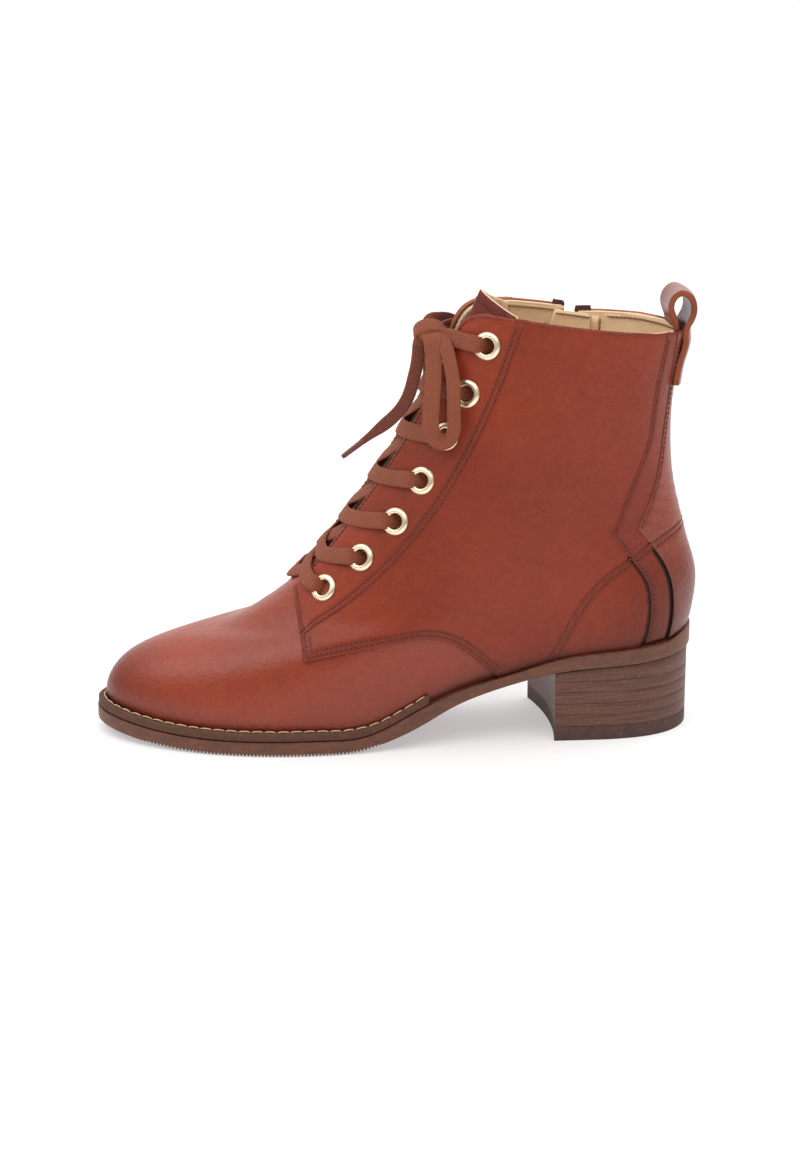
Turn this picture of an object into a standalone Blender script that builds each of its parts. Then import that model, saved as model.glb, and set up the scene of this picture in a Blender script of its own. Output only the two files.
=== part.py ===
"""A left ankle boot: a derby front laced over a tongue, a zip on the inner side, and a stacked heel.

Metres, +Z up. The toe points along -X, the heel along +X, and the outer side of the foot is at -Y.
The origin is on the floor, under the middle of the heel.
"""

import math

import bmesh
import bpy
import numpy as np
from mathutils import Matrix, Vector

# Driving dimensions
LENGTH = 0.257  # outsole, from the toe tip to the heel back
BALL_WIDTH = 0.089  # outsole, across the ball
HEEL_HEIGHT = 0.0356  # underside of the sole above the floor, at the heel back
INSTEP_HEIGHT = 0.0685  # base of the throat above the floor
COLLAR_HEIGHT = 0.1695  # back of the collar above the floor
WALL = 0.0018  # leather and lining of the upper
GAP = 0.0003  # between pieces that meet
FEATHER_GAP = 0.0006  # between the upper's lower edge and the curved sole
PERCENT = 0.01
MM = 0.001


def table(columns, rows):
    """Named columns, from rows of numbers."""
    return dict(zip(columns.split(), np.array(rows, float).T))


# The sole from the toe to the heel. Columns: place in percent of LENGTH from the origin; height of the
# underside and thickness of the edge in percent of HEEL_HEIGHT.
SOLE = table("along under edge", [
    (-87.9, 14.0, 17.4),
    (-79.8, 5.6, 17.4),
    (-70.0, 0.6, 17.4),
    (-62.3, 0.0, 17.4),
    (-48.6, 0.0, 17.4),
    (-44.7, 2.6, 16.4),
    (-41.2, 9.4, 17.3),
    (-37.7, 18.4, 20.5),
    (-33.9, 31.3, 21.5),
    (-29.8, 47.5, 19.1),
    (-24.9, 61.8, 18.0),
    (-18.7, 75.0, 17.6),
    (-12.8, 85.1, 17.8),
    (0.0, 93.0, 18.8),
    (12.1, 100.0, 19.1),
])  # fmt: skip

# The last, as level loops from the feather line (first row) to the collar (last row). Columns: place of
# the loop's front and back end in percent of LENGTH, their rise above the feather line in percent of
# COLLAR_HEIGHT, half widths at five stations in percent of BALL_WIDTH, and how far the loop follows the
# curve of the sole (1 all the way, 0 a flat loop).
LEVELS = table(
    "front front_rise back back_rise heel_end heel waist_outer waist_inner ball toe_end sag", [
    (-85.8, 0.0, 10.3, 0.0, 60.7, 41.6, 34.3, 28.1, 49.4, 47.2, 1.00),
    (-86.3, 4.8, 11.1, 4.6, 59.6, 43.3, 36.0, 30.9, 50.6, 48.3, 0.85),
    (-84.6, 10.5, 11.6, 9.4, 57.3, 42.7, 37.1, 33.7, 49.4, 46.1, 0.60),
    (-80.6, 15.4, 11.7, 13.7, 53.9, 41.6, 37.4, 35.4, 46.6, 39.3, 0.40),
    (-73.7, 19.0, 11.2, 17.7, 49.4, 39.9, 37.3, 36.0, 42.7, 31.5, 0.25),
    (-66.5, 20.9, 10.4, 21.5, 44.9, 38.2, 37.1, 36.0, 40.4, 32.6, 0.10),
    (-60.1, 25.7, 9.5, 26.0, 41.6, 36.5, 36.5, 36.0, 39.3, 36.5, 0.00),
    (-54.5, 32.4, 8.6, 31.3, 39.3, 34.8, 36.0, 35.4, 38.2, 40.4, 0.00),
    (-46.8, 46.8, 7.2, 41.3, 36.0, 33.1, 34.8, 34.8, 36.0, 38.8, 0.00),
    (-37.9, 67.2, 6.7, 53.7, 32.6, 32.0, 32.9, 32.9, 33.5, 34.6, 0.00),
    (-32.0, 85.5, 7.4, 64.9, 30.3, 30.6, 31.2, 31.2, 31.2, 31.2, 0.00),
    (-27.5, 102.0, 8.7, 75.2, 29.0, 29.0, 29.6, 29.6, 29.6, 29.6, 0.00),
])  # fmt: skip
LEVEL_KNOTS = np.linspace(0.0, 1.0, len(LEVELS["front"]))
# Stations of the half widths, as shares of the way from a loop's back end to its front end
STATIONS = np.array([0.0, 0.16, 0.42, 0.72, 1.0])
# Ledge of the outsole beyond the feather line at the same stations, in percent of BALL_WIDTH
LEDGE = np.array([4.6, 3.6, 3.0, 5.6, 6.0])
# The centre line bends to the inner side, forward of the waist
SWING = 0.0065
SWING_START = -0.060
SWING_RUN = 0.110

# Grid of the upper, and the pieces that lie on it
COLUMNS = 36
CROWDING = 0.4  # how much closer together the columns are at the sides than at the toe and the heel
ROWS = 13
OVERLAY_GAP = 0.0005
QUARTER_LIFT = 0.0013
EYESTAY_LIFT = 0.0016
BAND_LIFT = 0.0017
COUNTER_LIFT = 0.0021

# Throat
THROAT_HALF = 0.0090
FACING_CORNER = 0.011
FRONT_SHARE = 0.5  # the throat and its facings lie within this share of the way round from the front


def srgb(red, green, blue):
    """Linear colour with alpha, from 0 to 255 values of a display."""
    return [((v / 255 + 0.055) / 1.055) ** 2.4 for v in (red, green, blue)] + [1.0]


def make_finish(name, colour, roughness, metallic=0.0):
    """A Principled material."""
    material = bpy.data.materials.new(name)
    material.use_nodes = True
    shader = material.node_tree.nodes["Principled BSDF"]
    shader.inputs["Base Color"].default_value = colour
    shader.inputs["Roughness"].default_value = roughness
    shader.inputs["Metallic"].default_value = metallic
    material.diffuse_color = colour
    return material


for old in list(bpy.data.objects):
    bpy.data.objects.remove(old)
parts = bpy.data.collections.new("ankle_boot")
cutters = bpy.data.collections.new("ankle_boot_cutters")
for group in (parts, cutters):
    bpy.context.scene.collection.children.link(group)

LEATHER = make_finish("brown_leather", srgb(138, 63, 50), 0.42)
LEATHER_DARK = make_finish("burnished_leather", srgb(112, 52, 42), 0.42)
LINING = make_finish("cream_lining", srgb(208, 170, 134), 0.7)
SOLE_FINISH = make_finish("sole_rubber", srgb(118, 81, 61), 0.55)
WELT_FINISH = make_finish("welt", srgb(96, 66, 56), 0.6)
STACK = make_finish("heel_stack", srgb(109, 76, 67), 0.5)
RUBBER = make_finish("heel_rubber", srgb(70, 52, 48), 0.65)
BRASS = make_finish("brass", srgb(214, 186, 132), 0.25, 1.0)
LACE = make_finish("lace_cotton", srgb(148, 83, 62), 0.8)
TAPE = make_finish("zip_tape", srgb(84, 44, 36), 0.8)


def spline_weights(knots, places):
    """Weights that turn values at the knots into those of a natural cubic spline at the places."""
    count = len(knots)
    step = np.diff(knots)
    bend = np.eye(count)
    load = np.zeros((count, count))
    for i in range(1, count - 1):
        bend[i, i - 1 : i + 2] = step[i - 1], 2 * (step[i - 1] + step[i]), step[i]
        load[i, i - 1 : i + 2] = 6 / step[i - 1], -6 / step[i - 1] - 6 / step[i], 6 / step[i]
    curvature = np.linalg.solve(bend, load)
    places = np.atleast_1d(np.asarray(places, float))
    i = np.clip(np.searchsorted(knots, places) - 1, 0, count - 2)
    width = step[i][:, None]
    past = (places - knots[i])[:, None]
    left = width - past
    straight = (left * np.eye(count)[i] + past * np.eye(count)[i + 1]) / width
    before = (left**3 / width - left * width) / 6 * curvature[i]
    after = (past**3 / width - past * width) / 6 * curvature[i + 1]
    return straight + before + after


def spline(knots, values, places):
    """Natural cubic spline through values at the knots, read at the places."""
    return spline_weights(np.asarray(knots, float), places) @ np.asarray(values, float)


def smooth_step(share):
    """0 to 1 with level ends."""
    share = np.clip(share, 0.0, 1.0)
    return share * share * (3 - 2 * share)


def sole_under(x):
    """Height of the sole's underside: flat under the ball, arched at the waist, sloping at the heel."""
    height = spline(SOLE["along"] * PERCENT * LENGTH, SOLE["under"] * PERCENT * HEEL_HEIGHT, x)
    return np.maximum(height, 0.0)


def sole_top(x):
    """Height of the sole's upper face."""
    edge = spline(SOLE["along"] * PERCENT * LENGTH, SOLE["edge"] * PERCENT * HEEL_HEIGHT, x)
    return sole_under(x) + edge


def feather(x):
    """Height of the upper's lower edge, just clear of the sole."""
    return sole_top(x) + FEATHER_GAP


def swing(x):
    """Where the boot's centre line is, towards the inner side."""
    return SWING * smooth_step((SWING_START - x) / SWING_RUN)


FRONT_END = LEVELS["front"][0] * PERCENT * LENGTH
BACK_END = LEVELS["back"][0] * PERCENT * LENGTH
FEATHER_FRONT = feather(FRONT_END)[0]
FEATHER_BACK = feather(BACK_END)[0]


def last_surface(around, level):
    """Points of the upper's outer face.

    around is 0 at the front, negative on the outer side, positive on the inner side, and -1 and 1 are both
    the back. level is 0 at the feather line and 1 at the collar.
    """
    around, level = np.broadcast_arrays(np.asarray(around, float), np.asarray(level, float))
    around = np.atleast_1d((around + 1) % 2 - 1)
    weights = spline_weights(LEVEL_KNOTS, level)
    row = {name: weights @ column for name, column in LEVELS.items()}
    turn = math.pi * (1 - np.abs(around))
    share = (1 - np.cos(turn)) / 2
    x = (row["back"] + (row["front"] - row["back"]) * share) * PERCENT * LENGTH
    waist = np.where(around < 0, row["waist_outer"], row["waist_inner"])
    widths = np.stack([row["heel_end"], row["heel"], waist, row["ball"], row["toe_end"]], axis=1)
    half = (spline_weights(STATIONS, share) * widths).sum(axis=1) * PERCENT * BALL_WIDTH
    y = swing(x) + np.sign(around) * half * np.sin(turn)
    straight = FEATHER_BACK + (FEATHER_FRONT - FEATHER_BACK) * share
    rise = row["back_rise"] + (row["front_rise"] - row["back_rise"]) * share
    z = straight + rise * PERCENT * COLLAR_HEIGHT + row["sag"] * (feather(x) - straight)
    return np.stack([x, y, z], axis=1)


def last_normal(around, level):
    """Unit normals of the upper's outer face, pointing out."""
    step = 1e-4
    around = np.asarray(around, float)
    level = np.asarray(level, float)
    across = last_surface(around + step, level) - last_surface(around - step, level)
    up = last_surface(around, level + step) - last_surface(around, level - step)
    normal = np.cross(up, across)
    return normal / np.linalg.norm(normal, axis=1, keepdims=True)


def lifted(around, level, lift):
    """Points at a height above the upper's outer face."""
    return last_surface(around, level) + last_normal(around, level) * np.reshape(lift, (-1, 1))


def locate(x, z, side):
    """The (around, level) of the outer face at a place in the side view; side is -1 outer, 1 inner."""
    around, level, reach = 0.5, 0.5, 0.5
    for _ in range(9):
        steps = np.linspace(-reach, reach, 15)
        a, b = (g.ravel() for g in np.meshgrid(around + steps, level + steps))
        point = last_surface(side * np.clip(a, 0.001, 0.999), np.clip(b, 0, 1))
        best = np.argmin((point[:, 0] - x) ** 2 + (point[:, 2] - z) ** 2)
        around, level, reach = a[best], b[best], reach * 0.35
    return side * around, level


# Pieces and meshes


def add_piece(name, mesh, finish, group=parts):
    """An object with its material; a cutter is kept out of the render."""
    piece = bpy.data.objects.new(name, mesh)
    group.objects.link(piece)
    if finish:
        mesh.materials.append(finish)
    if group is cutters:
        piece.hide_render = True
        piece.display_type = "WIRE"
    return piece


def mesh_from(name, bm, smooth=True):
    """A mesh from a bmesh, shaded smooth but for its sharp edges."""
    mesh = bpy.data.meshes.new(name)
    bm.to_mesh(mesh)
    bm.free()
    if smooth:
        mesh.shade_smooth()
        mesh.set_sharp_from_angle(angle=math.radians(35))
    return mesh


def loft(rings):
    """A closed body through rings of equally many points, capped at both ends."""
    bm = bmesh.new()
    loops = [[bm.verts.new(point) for point in ring] for ring in rings]
    for ring, following in zip(loops, loops[1:]):
        for i in range(len(ring)):
            j = (i + 1) % len(ring)
            bm.faces.new((ring[i], ring[j], following[j], following[i]))
    bm.faces.new(list(reversed(loops[0])))
    bm.faces.new(loops[-1])
    bmesh.ops.recalc_face_normals(bm, faces=bm.faces)
    return bm


def ribbon(path, faces, width, thickness):
    """A flat strap along a path; faces gives the direction that its broad face looks in at each point."""
    path = np.asarray(path, float)
    along = np.gradient(path, axis=0)
    across = np.cross(along, faces)
    across /= np.linalg.norm(across, axis=1, keepdims=True)
    out = np.cross(across, along)
    out /= np.linalg.norm(out, axis=1, keepdims=True)
    corners = [(-1, -1), (1, -1), (1, 1), (-1, 1)]
    rings = zip(*(path + across * (a * width / 2) + out * (b * thickness / 2) for a, b in corners))
    return loft(list(rings))


# Patches of the upper's own surface


def flat_patch(arounds, levels):
    """A grid in (around, level), to be cut to shape while it is flat."""
    bm = bmesh.new()
    grid = [[bm.verts.new((a, b, 0.0)) for b in levels] for a in arounds]
    for column, following in zip(grid, grid[1:]):
        for j in range(len(levels) - 1):
            bm.faces.new((column[j], column[j + 1], following[j + 1], following[j]))
    return bm


def columns_between(first, last):
    """Columns of the upper's grid from one share of the way round to another."""
    even = np.arange(-COLUMNS, COLUMNS + 1) * 2 / COLUMNS
    places = even + CROWDING * np.sin(2 * math.pi * even) / (2 * math.pi)
    start = np.searchsorted(places, first + 1e-6) - 1
    end = np.searchsorted(places, last - 1e-6)
    return places[start : end + 1]


LEVEL_ROWS = np.linspace(0.0, 1.0, ROWS)


def read_field(field, points):
    """Values of a field at flat points."""
    flat = np.array([(p[0], p[1]) for p in points])
    return field(flat[:, 0], flat[:, 1])


SNAP = 0.00025  # a corner of the grid this near to a line is moved onto it


def cut(bm, field, where=None):
    """Draws the line where the field is 0 into a flat patch, through the faces that where picks."""
    faces = list(bm.faces)
    if where:
        inside = read_field(where, [f.calc_center_median() for f in faces]) > 0
        faces = [f for f, yes in zip(faces, inside) if yes]
    corners = list({v for f in faces for v in f.verts})
    value = dict(zip(corners, read_field(field, [v.co for v in corners])))
    slope_step = 1e-4
    for v in corners:
        if abs(value[v]) < SNAP and not v.is_boundary:
            a, b = v.co.x, v.co.y
            spots = [(a + slope_step, b), (a - slope_step, b), (a, b + slope_step), (a, b - slope_step)]
            east, west, north, south = read_field(field, spots)
            slope = np.array([east - west, north - south]) / (2 * slope_step)
            v.co.x, v.co.y = np.array([a, b]) - value[v] * slope / (slope @ slope)
            value[v] = 0.0
    for edge in list({e for f in faces for e in f.edges}):
        start, end = edge.verts
        if value[start] * value[end] < 0:
            share = value[start] / (value[start] - value[end])
            value[bmesh.utils.edge_split(edge, start, share)[1]] = 0.0
    for face in faces:
        ring = list(face.verts)
        sides = [np.sign(value[v]) for v in ring]
        if min(sides) < 0 < max(sides):
            starts = [v for v, s, after in zip(ring, sides, sides[1:] + sides[:1]) if s == 0 < after]
            ends = [v for v, s, before in zip(ring, sides, sides[-1:] + sides[:-1]) if s == 0 < before]
            if starts and ends and starts[0] is not ends[0]:
                bmesh.utils.face_split(face, starts[0], ends[0])


def drop(bm, field):
    """Deletes the faces of a flat patch whose middle is where the field is negative."""
    faces = list(bm.faces)
    value = read_field(field, [f.calc_center_median() for f in faces])
    lost = [f for f, v in zip(faces, value) if v < 0]
    bmesh.ops.delete(bm, geom=lost, context="FACES")


def trim(bm, *fields):
    """Cuts a flat patch along each field and keeps the side where all are positive."""
    for field in fields:
        cut(bm, field)
        drop(bm, field)


def wrap(bm, lift):
    """Lays a flat patch on the upper, at a height above its outer face."""
    flat = np.array([v.co[:2] for v in bm.verts])
    height = lift(flat[:, 0], flat[:, 1]) if callable(lift) else np.full(len(flat), lift)
    for v, point in zip(bm.verts, lifted(flat[:, 0], flat[:, 1], height)):
        v.co = point
    bmesh.ops.remove_doubles(bm, verts=bm.verts, dist=1e-5)


def add_shell(name, patch, lift, thickness, finish, fold=None):
    """A piece of even thickness, its outer face a flat patch laid on the upper and folded if need be."""
    wrap(patch, lift)
    if fold:
        fold(patch)
    piece = add_piece(name, mesh_from(name, patch), finish)
    solid = piece.modifiers.new("wall", "SOLIDIFY")
    solid.thickness = thickness
    solid.offset = -1.0
    return piece


# Lines of the pattern, in the side view


def side_view(around, level):
    """x and z of points of the upper."""
    point = last_surface(around, level)
    return point[:, 0], point[:, 2]


FRONT_LEVELS = np.linspace(0.0, 1.0, 300)
FRONT_LINE = last_surface(np.zeros(300), FRONT_LEVELS)
FRONT_RUN = np.concatenate([[0.0], np.cumsum(np.linalg.norm(np.diff(FRONT_LINE, axis=0), axis=1))])
THROAT_LEVEL = np.interp(INSTEP_HEIGHT, FRONT_LINE[:, 2], FRONT_LEVELS)


def aside(around, level):
    """Distance from the front centre line, large on the back half."""
    away = np.abs(last_surface(around, level)[:, 1] - np.interp(level, FRONT_LEVELS, FRONT_LINE[:, 1]))
    turned = np.abs((np.asarray(around, float) + 1) % 2 - 1)
    return np.where(turned < FRONT_SHARE, away, BALL_WIDTH)


def facing_field(around, level):
    """Positive behind the facings' edges, with their upper corners rounded."""
    inset = aside(around, level) - THROAT_HALF
    below = FRONT_RUN[-1] - np.interp(level, FRONT_LEVELS, FRONT_RUN)
    corner = FACING_CORNER
    return corner - np.hypot(np.maximum(corner - inset, 0), np.maximum(corner - below, 0))


def throat_field(around, level):
    """Positive outside the throat, a slot with a round lower end."""
    rise = np.interp(level, FRONT_LEVELS, FRONT_RUN) - np.interp(THROAT_LEVEL, FRONT_LEVELS, FRONT_RUN)
    short = np.clip(1 - rise / THROAT_HALF, 0, 1)
    narrowing = THROAT_HALF * (1 - np.sqrt(1 - short**2))
    return facing_field(around, level) + narrowing + np.maximum(-rise, 0)


# Front edge of the quarters over the vamp: x at the top and bottom of the edge
DERBY_TOP = (-0.1410, 0.0665)
DERBY_CORNER = (-0.1384, 0.0395)
# Lower edge of the quarters, from the corner back to the feather line, in millimetres
DERBY_EDGE = table("x z", [
    (-138.4, 39.5),
    (-127.5, 42.1),
    (-113.7, 45.1),
    (-99.9, 47.9),
    (-88.1, 49.4),
    (-80.0, 48.0),
    (-71.4, 43.3),
    (-63.5, 36.2),
    (-58.2, 31.1),
    (-52.0, 25.0),
])  # fmt: skip
# Rear edge of the eyestay, in millimetres
EYESTAY_EDGE = table("z x", [
    (40.0, -148.0),
    (48.0, -137.7),
    (58.0, -123.0),
    (73.6, -105.2),
    (101.0, -82.5),
    (141.0, -60.2),
    (184.0, -44.1),
])  # fmt: skip
# Edges of the back band, in millimetres, each with a kink above the heel
BAND_FRONT = table("z x", [
    (38.0, 5.4),
    (50.0, 8.3),
    (60.0, 8.7),
    (68.5, 6.9),
    (76.4, 1.7),
    (89.3, -8.6),
    (98.8, -4.9),
    (108.3, -1.1),
    (117.8, 2.8),
    (126.6, 6.0),
    (140.0, 8.0),
    (154.2, 10.1),
    (180.0, 15.0),
])  # fmt: skip
BAND_REAR = table("z x", [
    (38.0, 15.6),
    (49.7, 18.1),
    (59.9, 18.4),
    (69.1, 16.9),
    (78.0, 12.5),
    (91.2, 2.4),
    (101.4, 7.2),
    (110.7, 10.3),
    (120.9, 12.1),
    (134.2, 13.5),
    (146.8, 15.4),
    (180.0, 18.5),
])  # fmt: skip
FRONT_KINK = 0.0893
REAR_KINK = 0.0912
KINK_RUN = 0.012  # each branch of an edge is drawn this far past the kink


def derby_front(around, level):
    """Positive behind the front edge of the quarters."""
    x, z = side_view(around, level)
    lean = (DERBY_CORNER[0] - DERBY_TOP[0]) / (DERBY_TOP[1] - DERBY_CORNER[1])
    return x - DERBY_TOP[0] - (DERBY_TOP[1] - z) * lean


def derby_lower(around, level):
    """Positive above the lower edge of the quarters, and everywhere behind it."""
    x, z = side_view(around, level)
    place = DERBY_EDGE["x"] * MM
    edge = spline(place, DERBY_EDGE["z"] * MM, np.clip(x, place[0], place[-1]))
    return np.where(x > place[-1], COLLAR_HEIGHT, z - edge)


def eyestay_line(around, level):
    """Positive behind the rear edge of the eyestay."""
    x, z = side_view(around, level)
    height = EYESTAY_EDGE["z"] * MM
    return x - spline(height, EYESTAY_EDGE["x"] * MM, np.clip(z, height[0], height[-1]))


def shifted(field, by):
    """The field with its line moved by a distance."""
    return lambda around, level: field(around, level) + by


def turned_round(field):
    """The field with its sides swapped."""
    return lambda around, level: -field(around, level)


def band_branch(edge, kink, below):
    """A field that is positive behind one edge of the back band: its part below or above the kink."""
    height = edge["z"] * MM
    rows = height <= kink if below else height >= kink
    place = edge["x"][rows] * MM
    ends = (height[0], kink + KINK_RUN) if below else (kink - KINK_RUN, height[-1])

    def field(around, level):
        x, z = side_view(around, level)
        return x - spline(height[rows], place, np.clip(z, *ends))

    return field


def beside_kink(kink, below):
    """Positive from the kink down or up, with a little beyond it."""

    def field(around, level):
        height = side_view(around, level)[1] - kink
        return KINK_RUN - height if below else KINK_RUN + height

    return field


def trim_at_band(patch, edge, kink, behind, by=0.0):
    """Cuts a flat patch along an edge of the back band and keeps the part behind it or in front of it."""
    branches = [shifted(band_branch(edge, kink, below), by) for below in (True, False)]
    for branch, below in zip(branches, (True, False)):
        cut(patch, branch, beside_kink(kink, below))

    def kept(around, level):
        past = np.minimum(branches[0](around, level), branches[1](around, level))
        return past if behind else -past

    drop(patch, kept)


# Zip line on the inner side: upper and lower end in the side view
ZIP_TOP = (-0.0195, 0.1765)
ZIP_BOTTOM = (-0.0270, 0.0600)
SLIT_HALF = 0.0034
TEETH_HALF = 0.0028
TAPE_HALF = 0.0125
SLIT_RUN = 0.015  # how far below the slit's lower end its edges are drawn


def zip_offset(around, level):
    """Distance behind the zip's middle line."""
    x, z = side_view(around, level)
    lean = (ZIP_TOP[0] - ZIP_BOTTOM[0]) / (ZIP_TOP[1] - ZIP_BOTTOM[1])
    return x - ZIP_BOTTOM[0] - (z - ZIP_BOTTOM[1]) * lean


def above_zip_end(around, level):
    """Height above the zip's lower end."""
    return side_view(around, level)[1] - ZIP_BOTTOM[1]


def near_zip(around, level):
    """Positive on the inner side, from a little below the zip's lower end up."""
    turned = (np.asarray(around, float) + 1) % 2 - 1
    return np.where(turned > 0, above_zip_end(around, level) + SLIT_RUN, -1.0)


def slit_field(around, level):
    """Positive outside the slit for the zip."""
    turned = (np.asarray(around, float) + 1) % 2 - 1
    beside = np.abs(zip_offset(around, level)) - SLIT_HALF
    return np.where(turned > 0, np.maximum(beside, -above_zip_end(around, level)), 1.0)


def cut_slit(patch):
    """Opens the slit for the zip in a flat patch."""
    cut(patch, shifted(zip_offset, SLIT_HALF), near_zip)
    cut(patch, shifted(zip_offset, -SLIT_HALF), near_zip)
    cut(patch, above_zip_end, near_zip)
    drop(patch, slit_field)


# Sole, welt, heel and insole


def sole_outline(side, share, inset=0.0):
    """Points of the sole's edge; share runs from the heel back (0) to the toe tip (1)."""
    share = np.atleast_1d(np.asarray(share, float))
    around = side * (1 - np.arccos(1 - 2 * share) / math.pi)
    point = last_surface(around, 0.0 * share)
    step = 1e-3
    along = last_surface(around + step, 0.0 * share) - last_surface(around - step, 0.0 * share)
    out = np.stack([-along[:, 1], along[:, 0]], axis=1)
    out /= np.linalg.norm(out, axis=1, keepdims=True)
    ledge = spline(STATIONS, LEDGE * PERCENT * BALL_WIDTH, share) - inset
    return point[:, :2] + out * ledge[:, None]


SOLE_SECTIONS = 44
SOLE_CHAMFER = 0.0010
TIP_TURN = 0.07  # how near the end sections come to the tip and the heel back, in radians


def section_shares(first, last, count):
    """Shares of the length, closer together towards both ends."""
    turn = np.linspace(first, last, count)
    return (1 - np.cos(turn)) / 2


def add_outsole():
    """The sole: sections across it from the heel back to the toe tip."""
    share = section_shares(TIP_TURN, math.pi - TIP_TURN, SOLE_SECTIONS)
    outer = {side: sole_outline(side, share) for side in (-1, 1)}
    inner = {side: sole_outline(side, share, SOLE_CHAMFER) for side in (-1, 1)}

    def edge(points, height):
        return np.column_stack([points, height(points[:, 0])])

    def low(x):
        return sole_under(x) + SOLE_CHAMFER

    corners = [
        edge(inner[-1], sole_under),
        edge(outer[-1], low),
        edge(outer[-1], sole_top),
        edge(outer[1], sole_top),
        edge(outer[1], low),
        edge(inner[1], sole_under),
    ]
    add_piece("outsole", mesh_from("outsole", loft(list(zip(*corners)))), SOLE_FINISH)


WELT_HEIGHT = 0.0036
WELT_LEVEL = 0.045  # level of the upper beside the welt's upper edge
WELT_END = 0.456  # share of the length where the welt ends on both sides
WELT_SECTIONS = 45
WELT_INSET = 0.0004
WELT_CLEAR = 0.0006
WELT_CHAMFER = 0.0006


def add_welt():
    """The strip on the sole's ledge: sections from the outer waist round the toe to the inner waist."""
    first = 1 - math.acos(1 - 2 * WELT_END) / math.pi
    around = np.linspace(-first, first, WELT_SECTIONS)
    share = (1 - np.cos(math.pi * (1 - np.abs(around)))) / 2
    side = np.where(around < 0, -1.0, 1.0)

    def outline(inset):
        both = {s: sole_outline(s, share, inset) for s in (-1.0, 1.0)}
        return np.where(side[:, None] < 0, both[-1.0], both[1.0])

    clear = np.full(len(around), WELT_CLEAR)
    inner_low = lifted(around, 0 * around, clear)
    inner_high = lifted(around, 0 * around + WELT_LEVEL, clear)
    outer = outline(WELT_INSET)
    rim = outline(WELT_INSET + WELT_CHAMFER)

    def raised(points, height):
        return np.column_stack([points[:, :2], sole_top(points[:, 0]) + GAP + height])

    corners = [
        raised(inner_low, 0.0),
        raised(inner_high, WELT_HEIGHT),
        raised(rim, WELT_HEIGHT),
        raised(outer, WELT_HEIGHT - WELT_CHAMFER),
        raised(outer, 0.0),
    ]
    add_piece("welt", mesh_from("welt", loft(list(zip(*corners)))), WELT_FINISH)


HEEL_SIDE = 11  # points along each side of a lift
BREAST_OUTER = -0.0318
BREAST_INNER = -0.0358
BREAST_HOLLOW = 0.0031
BREAST_POINTS = 6
SEAT_INSET = 0.0010
FLOOR_INSET = 0.0011
TOP_PIECE = 0.0060
LIFT = 0.0051  # height of one lift with the gap above it
LIFTS = 5
HEEL_SHARE = 0.35  # the heel ends within this share of the length
FINE_STEPS = 200  # places read along a line where it is measured


def heel_outline(height):
    """Outline of the heel at a height: both sides, the round back and the hollow breast."""
    inset = FLOOR_INSET + (SEAT_INSET - FLOOR_INSET) * height / HEEL_HEIGHT
    points = []
    for side, breast in ((-1, BREAST_OUTER), (1, BREAST_INNER)):
        share = np.linspace(0.0, HEEL_SHARE, FINE_STEPS)
        edge = sole_outline(side, share, inset)
        end = np.interp(-breast, -edge[:, 0], share)
        turn = np.linspace(0.0, math.acos(1 - 2 * end), HEEL_SIDE)
        run = sole_outline(side, (1 - np.cos(turn)) / 2, inset)
        points.append(run[::-1] if side < 0 else run[1:])
    near, far = points[0][0], points[1][-1]
    share = np.linspace(0, 1, BREAST_POINTS + 2)[1:-1, None]
    hollow = np.array([[BREAST_HOLLOW, 0.0]])
    breast = far + (near - far) * share + hollow * 4 * share * (1 - share)
    return np.concatenate([points[0], points[1], breast])


def add_heel():
    """The rubber top piece and the stacked lifts, the uppermost a wedge under the sole."""
    bottom = 0.0
    for number in range(LIFTS + 1):
        name = f"heel_lift_{number}" if number else "heel_top_piece"
        top = TOP_PIECE + number * LIFT
        low = heel_outline(bottom)
        high = heel_outline(min(top, HEEL_HEIGHT))
        ceiling = np.full(len(high), top)
        if number == LIFTS:
            ceiling = sole_under(high[:, 0]) - 2 * GAP
        rings = [np.column_stack([low, np.full(len(low), bottom)]), np.column_stack([high, ceiling])]
        add_piece(name, mesh_from(name, loft(rings)), STACK if number else RUBBER)
        bottom = top + GAP


INSOLE_THICKNESS = 0.0025
INSOLE_SECTIONS = 30
INSOLE_CLEAR = 0.0013
INSOLE_TURN = 0.12  # how near the end sections come to the ends, in radians


def add_insole():
    """The footbed on the sole, inside the upper."""
    turn = np.linspace(INSOLE_TURN, math.pi - INSOLE_TURN, INSOLE_SECTIONS)
    depth = np.full(INSOLE_SECTIONS, -(WALL + INSOLE_CLEAR))
    edge = {side: lifted(side * (1 - turn / math.pi), 0 * turn, depth) for side in (-1, 1)}

    def raised(points, height):
        return np.column_stack([points[:, :2], sole_top(points[:, 0]) + GAP + height])

    corners = [
        raised(edge[-1], 0.0),
        raised(edge[-1], INSOLE_THICKNESS),
        raised(edge[1], INSOLE_THICKNESS),
        raised(edge[1], 0.0),
    ]
    add_piece("insole", mesh_from("insole", loft(list(zip(*corners)))), LINING)


# Eyelets: level up the front and place round from the front, from the throat up
EYELETS = table("level around", [
    (0.625, 0.188),
    (0.687, 0.220),
    (0.737, 0.246),
    (0.785, 0.248),
    (0.837, 0.249),
    (0.893, 0.254),
    (0.960, 0.258),
])  # fmt: skip
EYELET_COUNT = len(EYELETS["level"])
EYELET_RADIUS = 0.0060
EYELET_BORE = 0.0033
EYELET_BARREL = 0.0037
EYELET_CREST = 0.0047
EYELET_RIM = 0.0013  # height of the domed flange
EYELET_STEPS = 8
HOLE_RADIUS = 0.0042
CUTTER_DEPTH = 0.012
SIDES = {"outer": -1, "inner": 1}


def frame_on_upper(around, level, lift):
    """A matrix whose Z is the upper's normal, at a height above the upper."""
    place = Vector(lifted(around, level, [lift])[0])
    out = Vector(last_normal(around, level)[0])
    turn = out.to_track_quat("Z", "Y").to_matrix().to_4x4()
    return Matrix.Translation(place) @ turn


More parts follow.
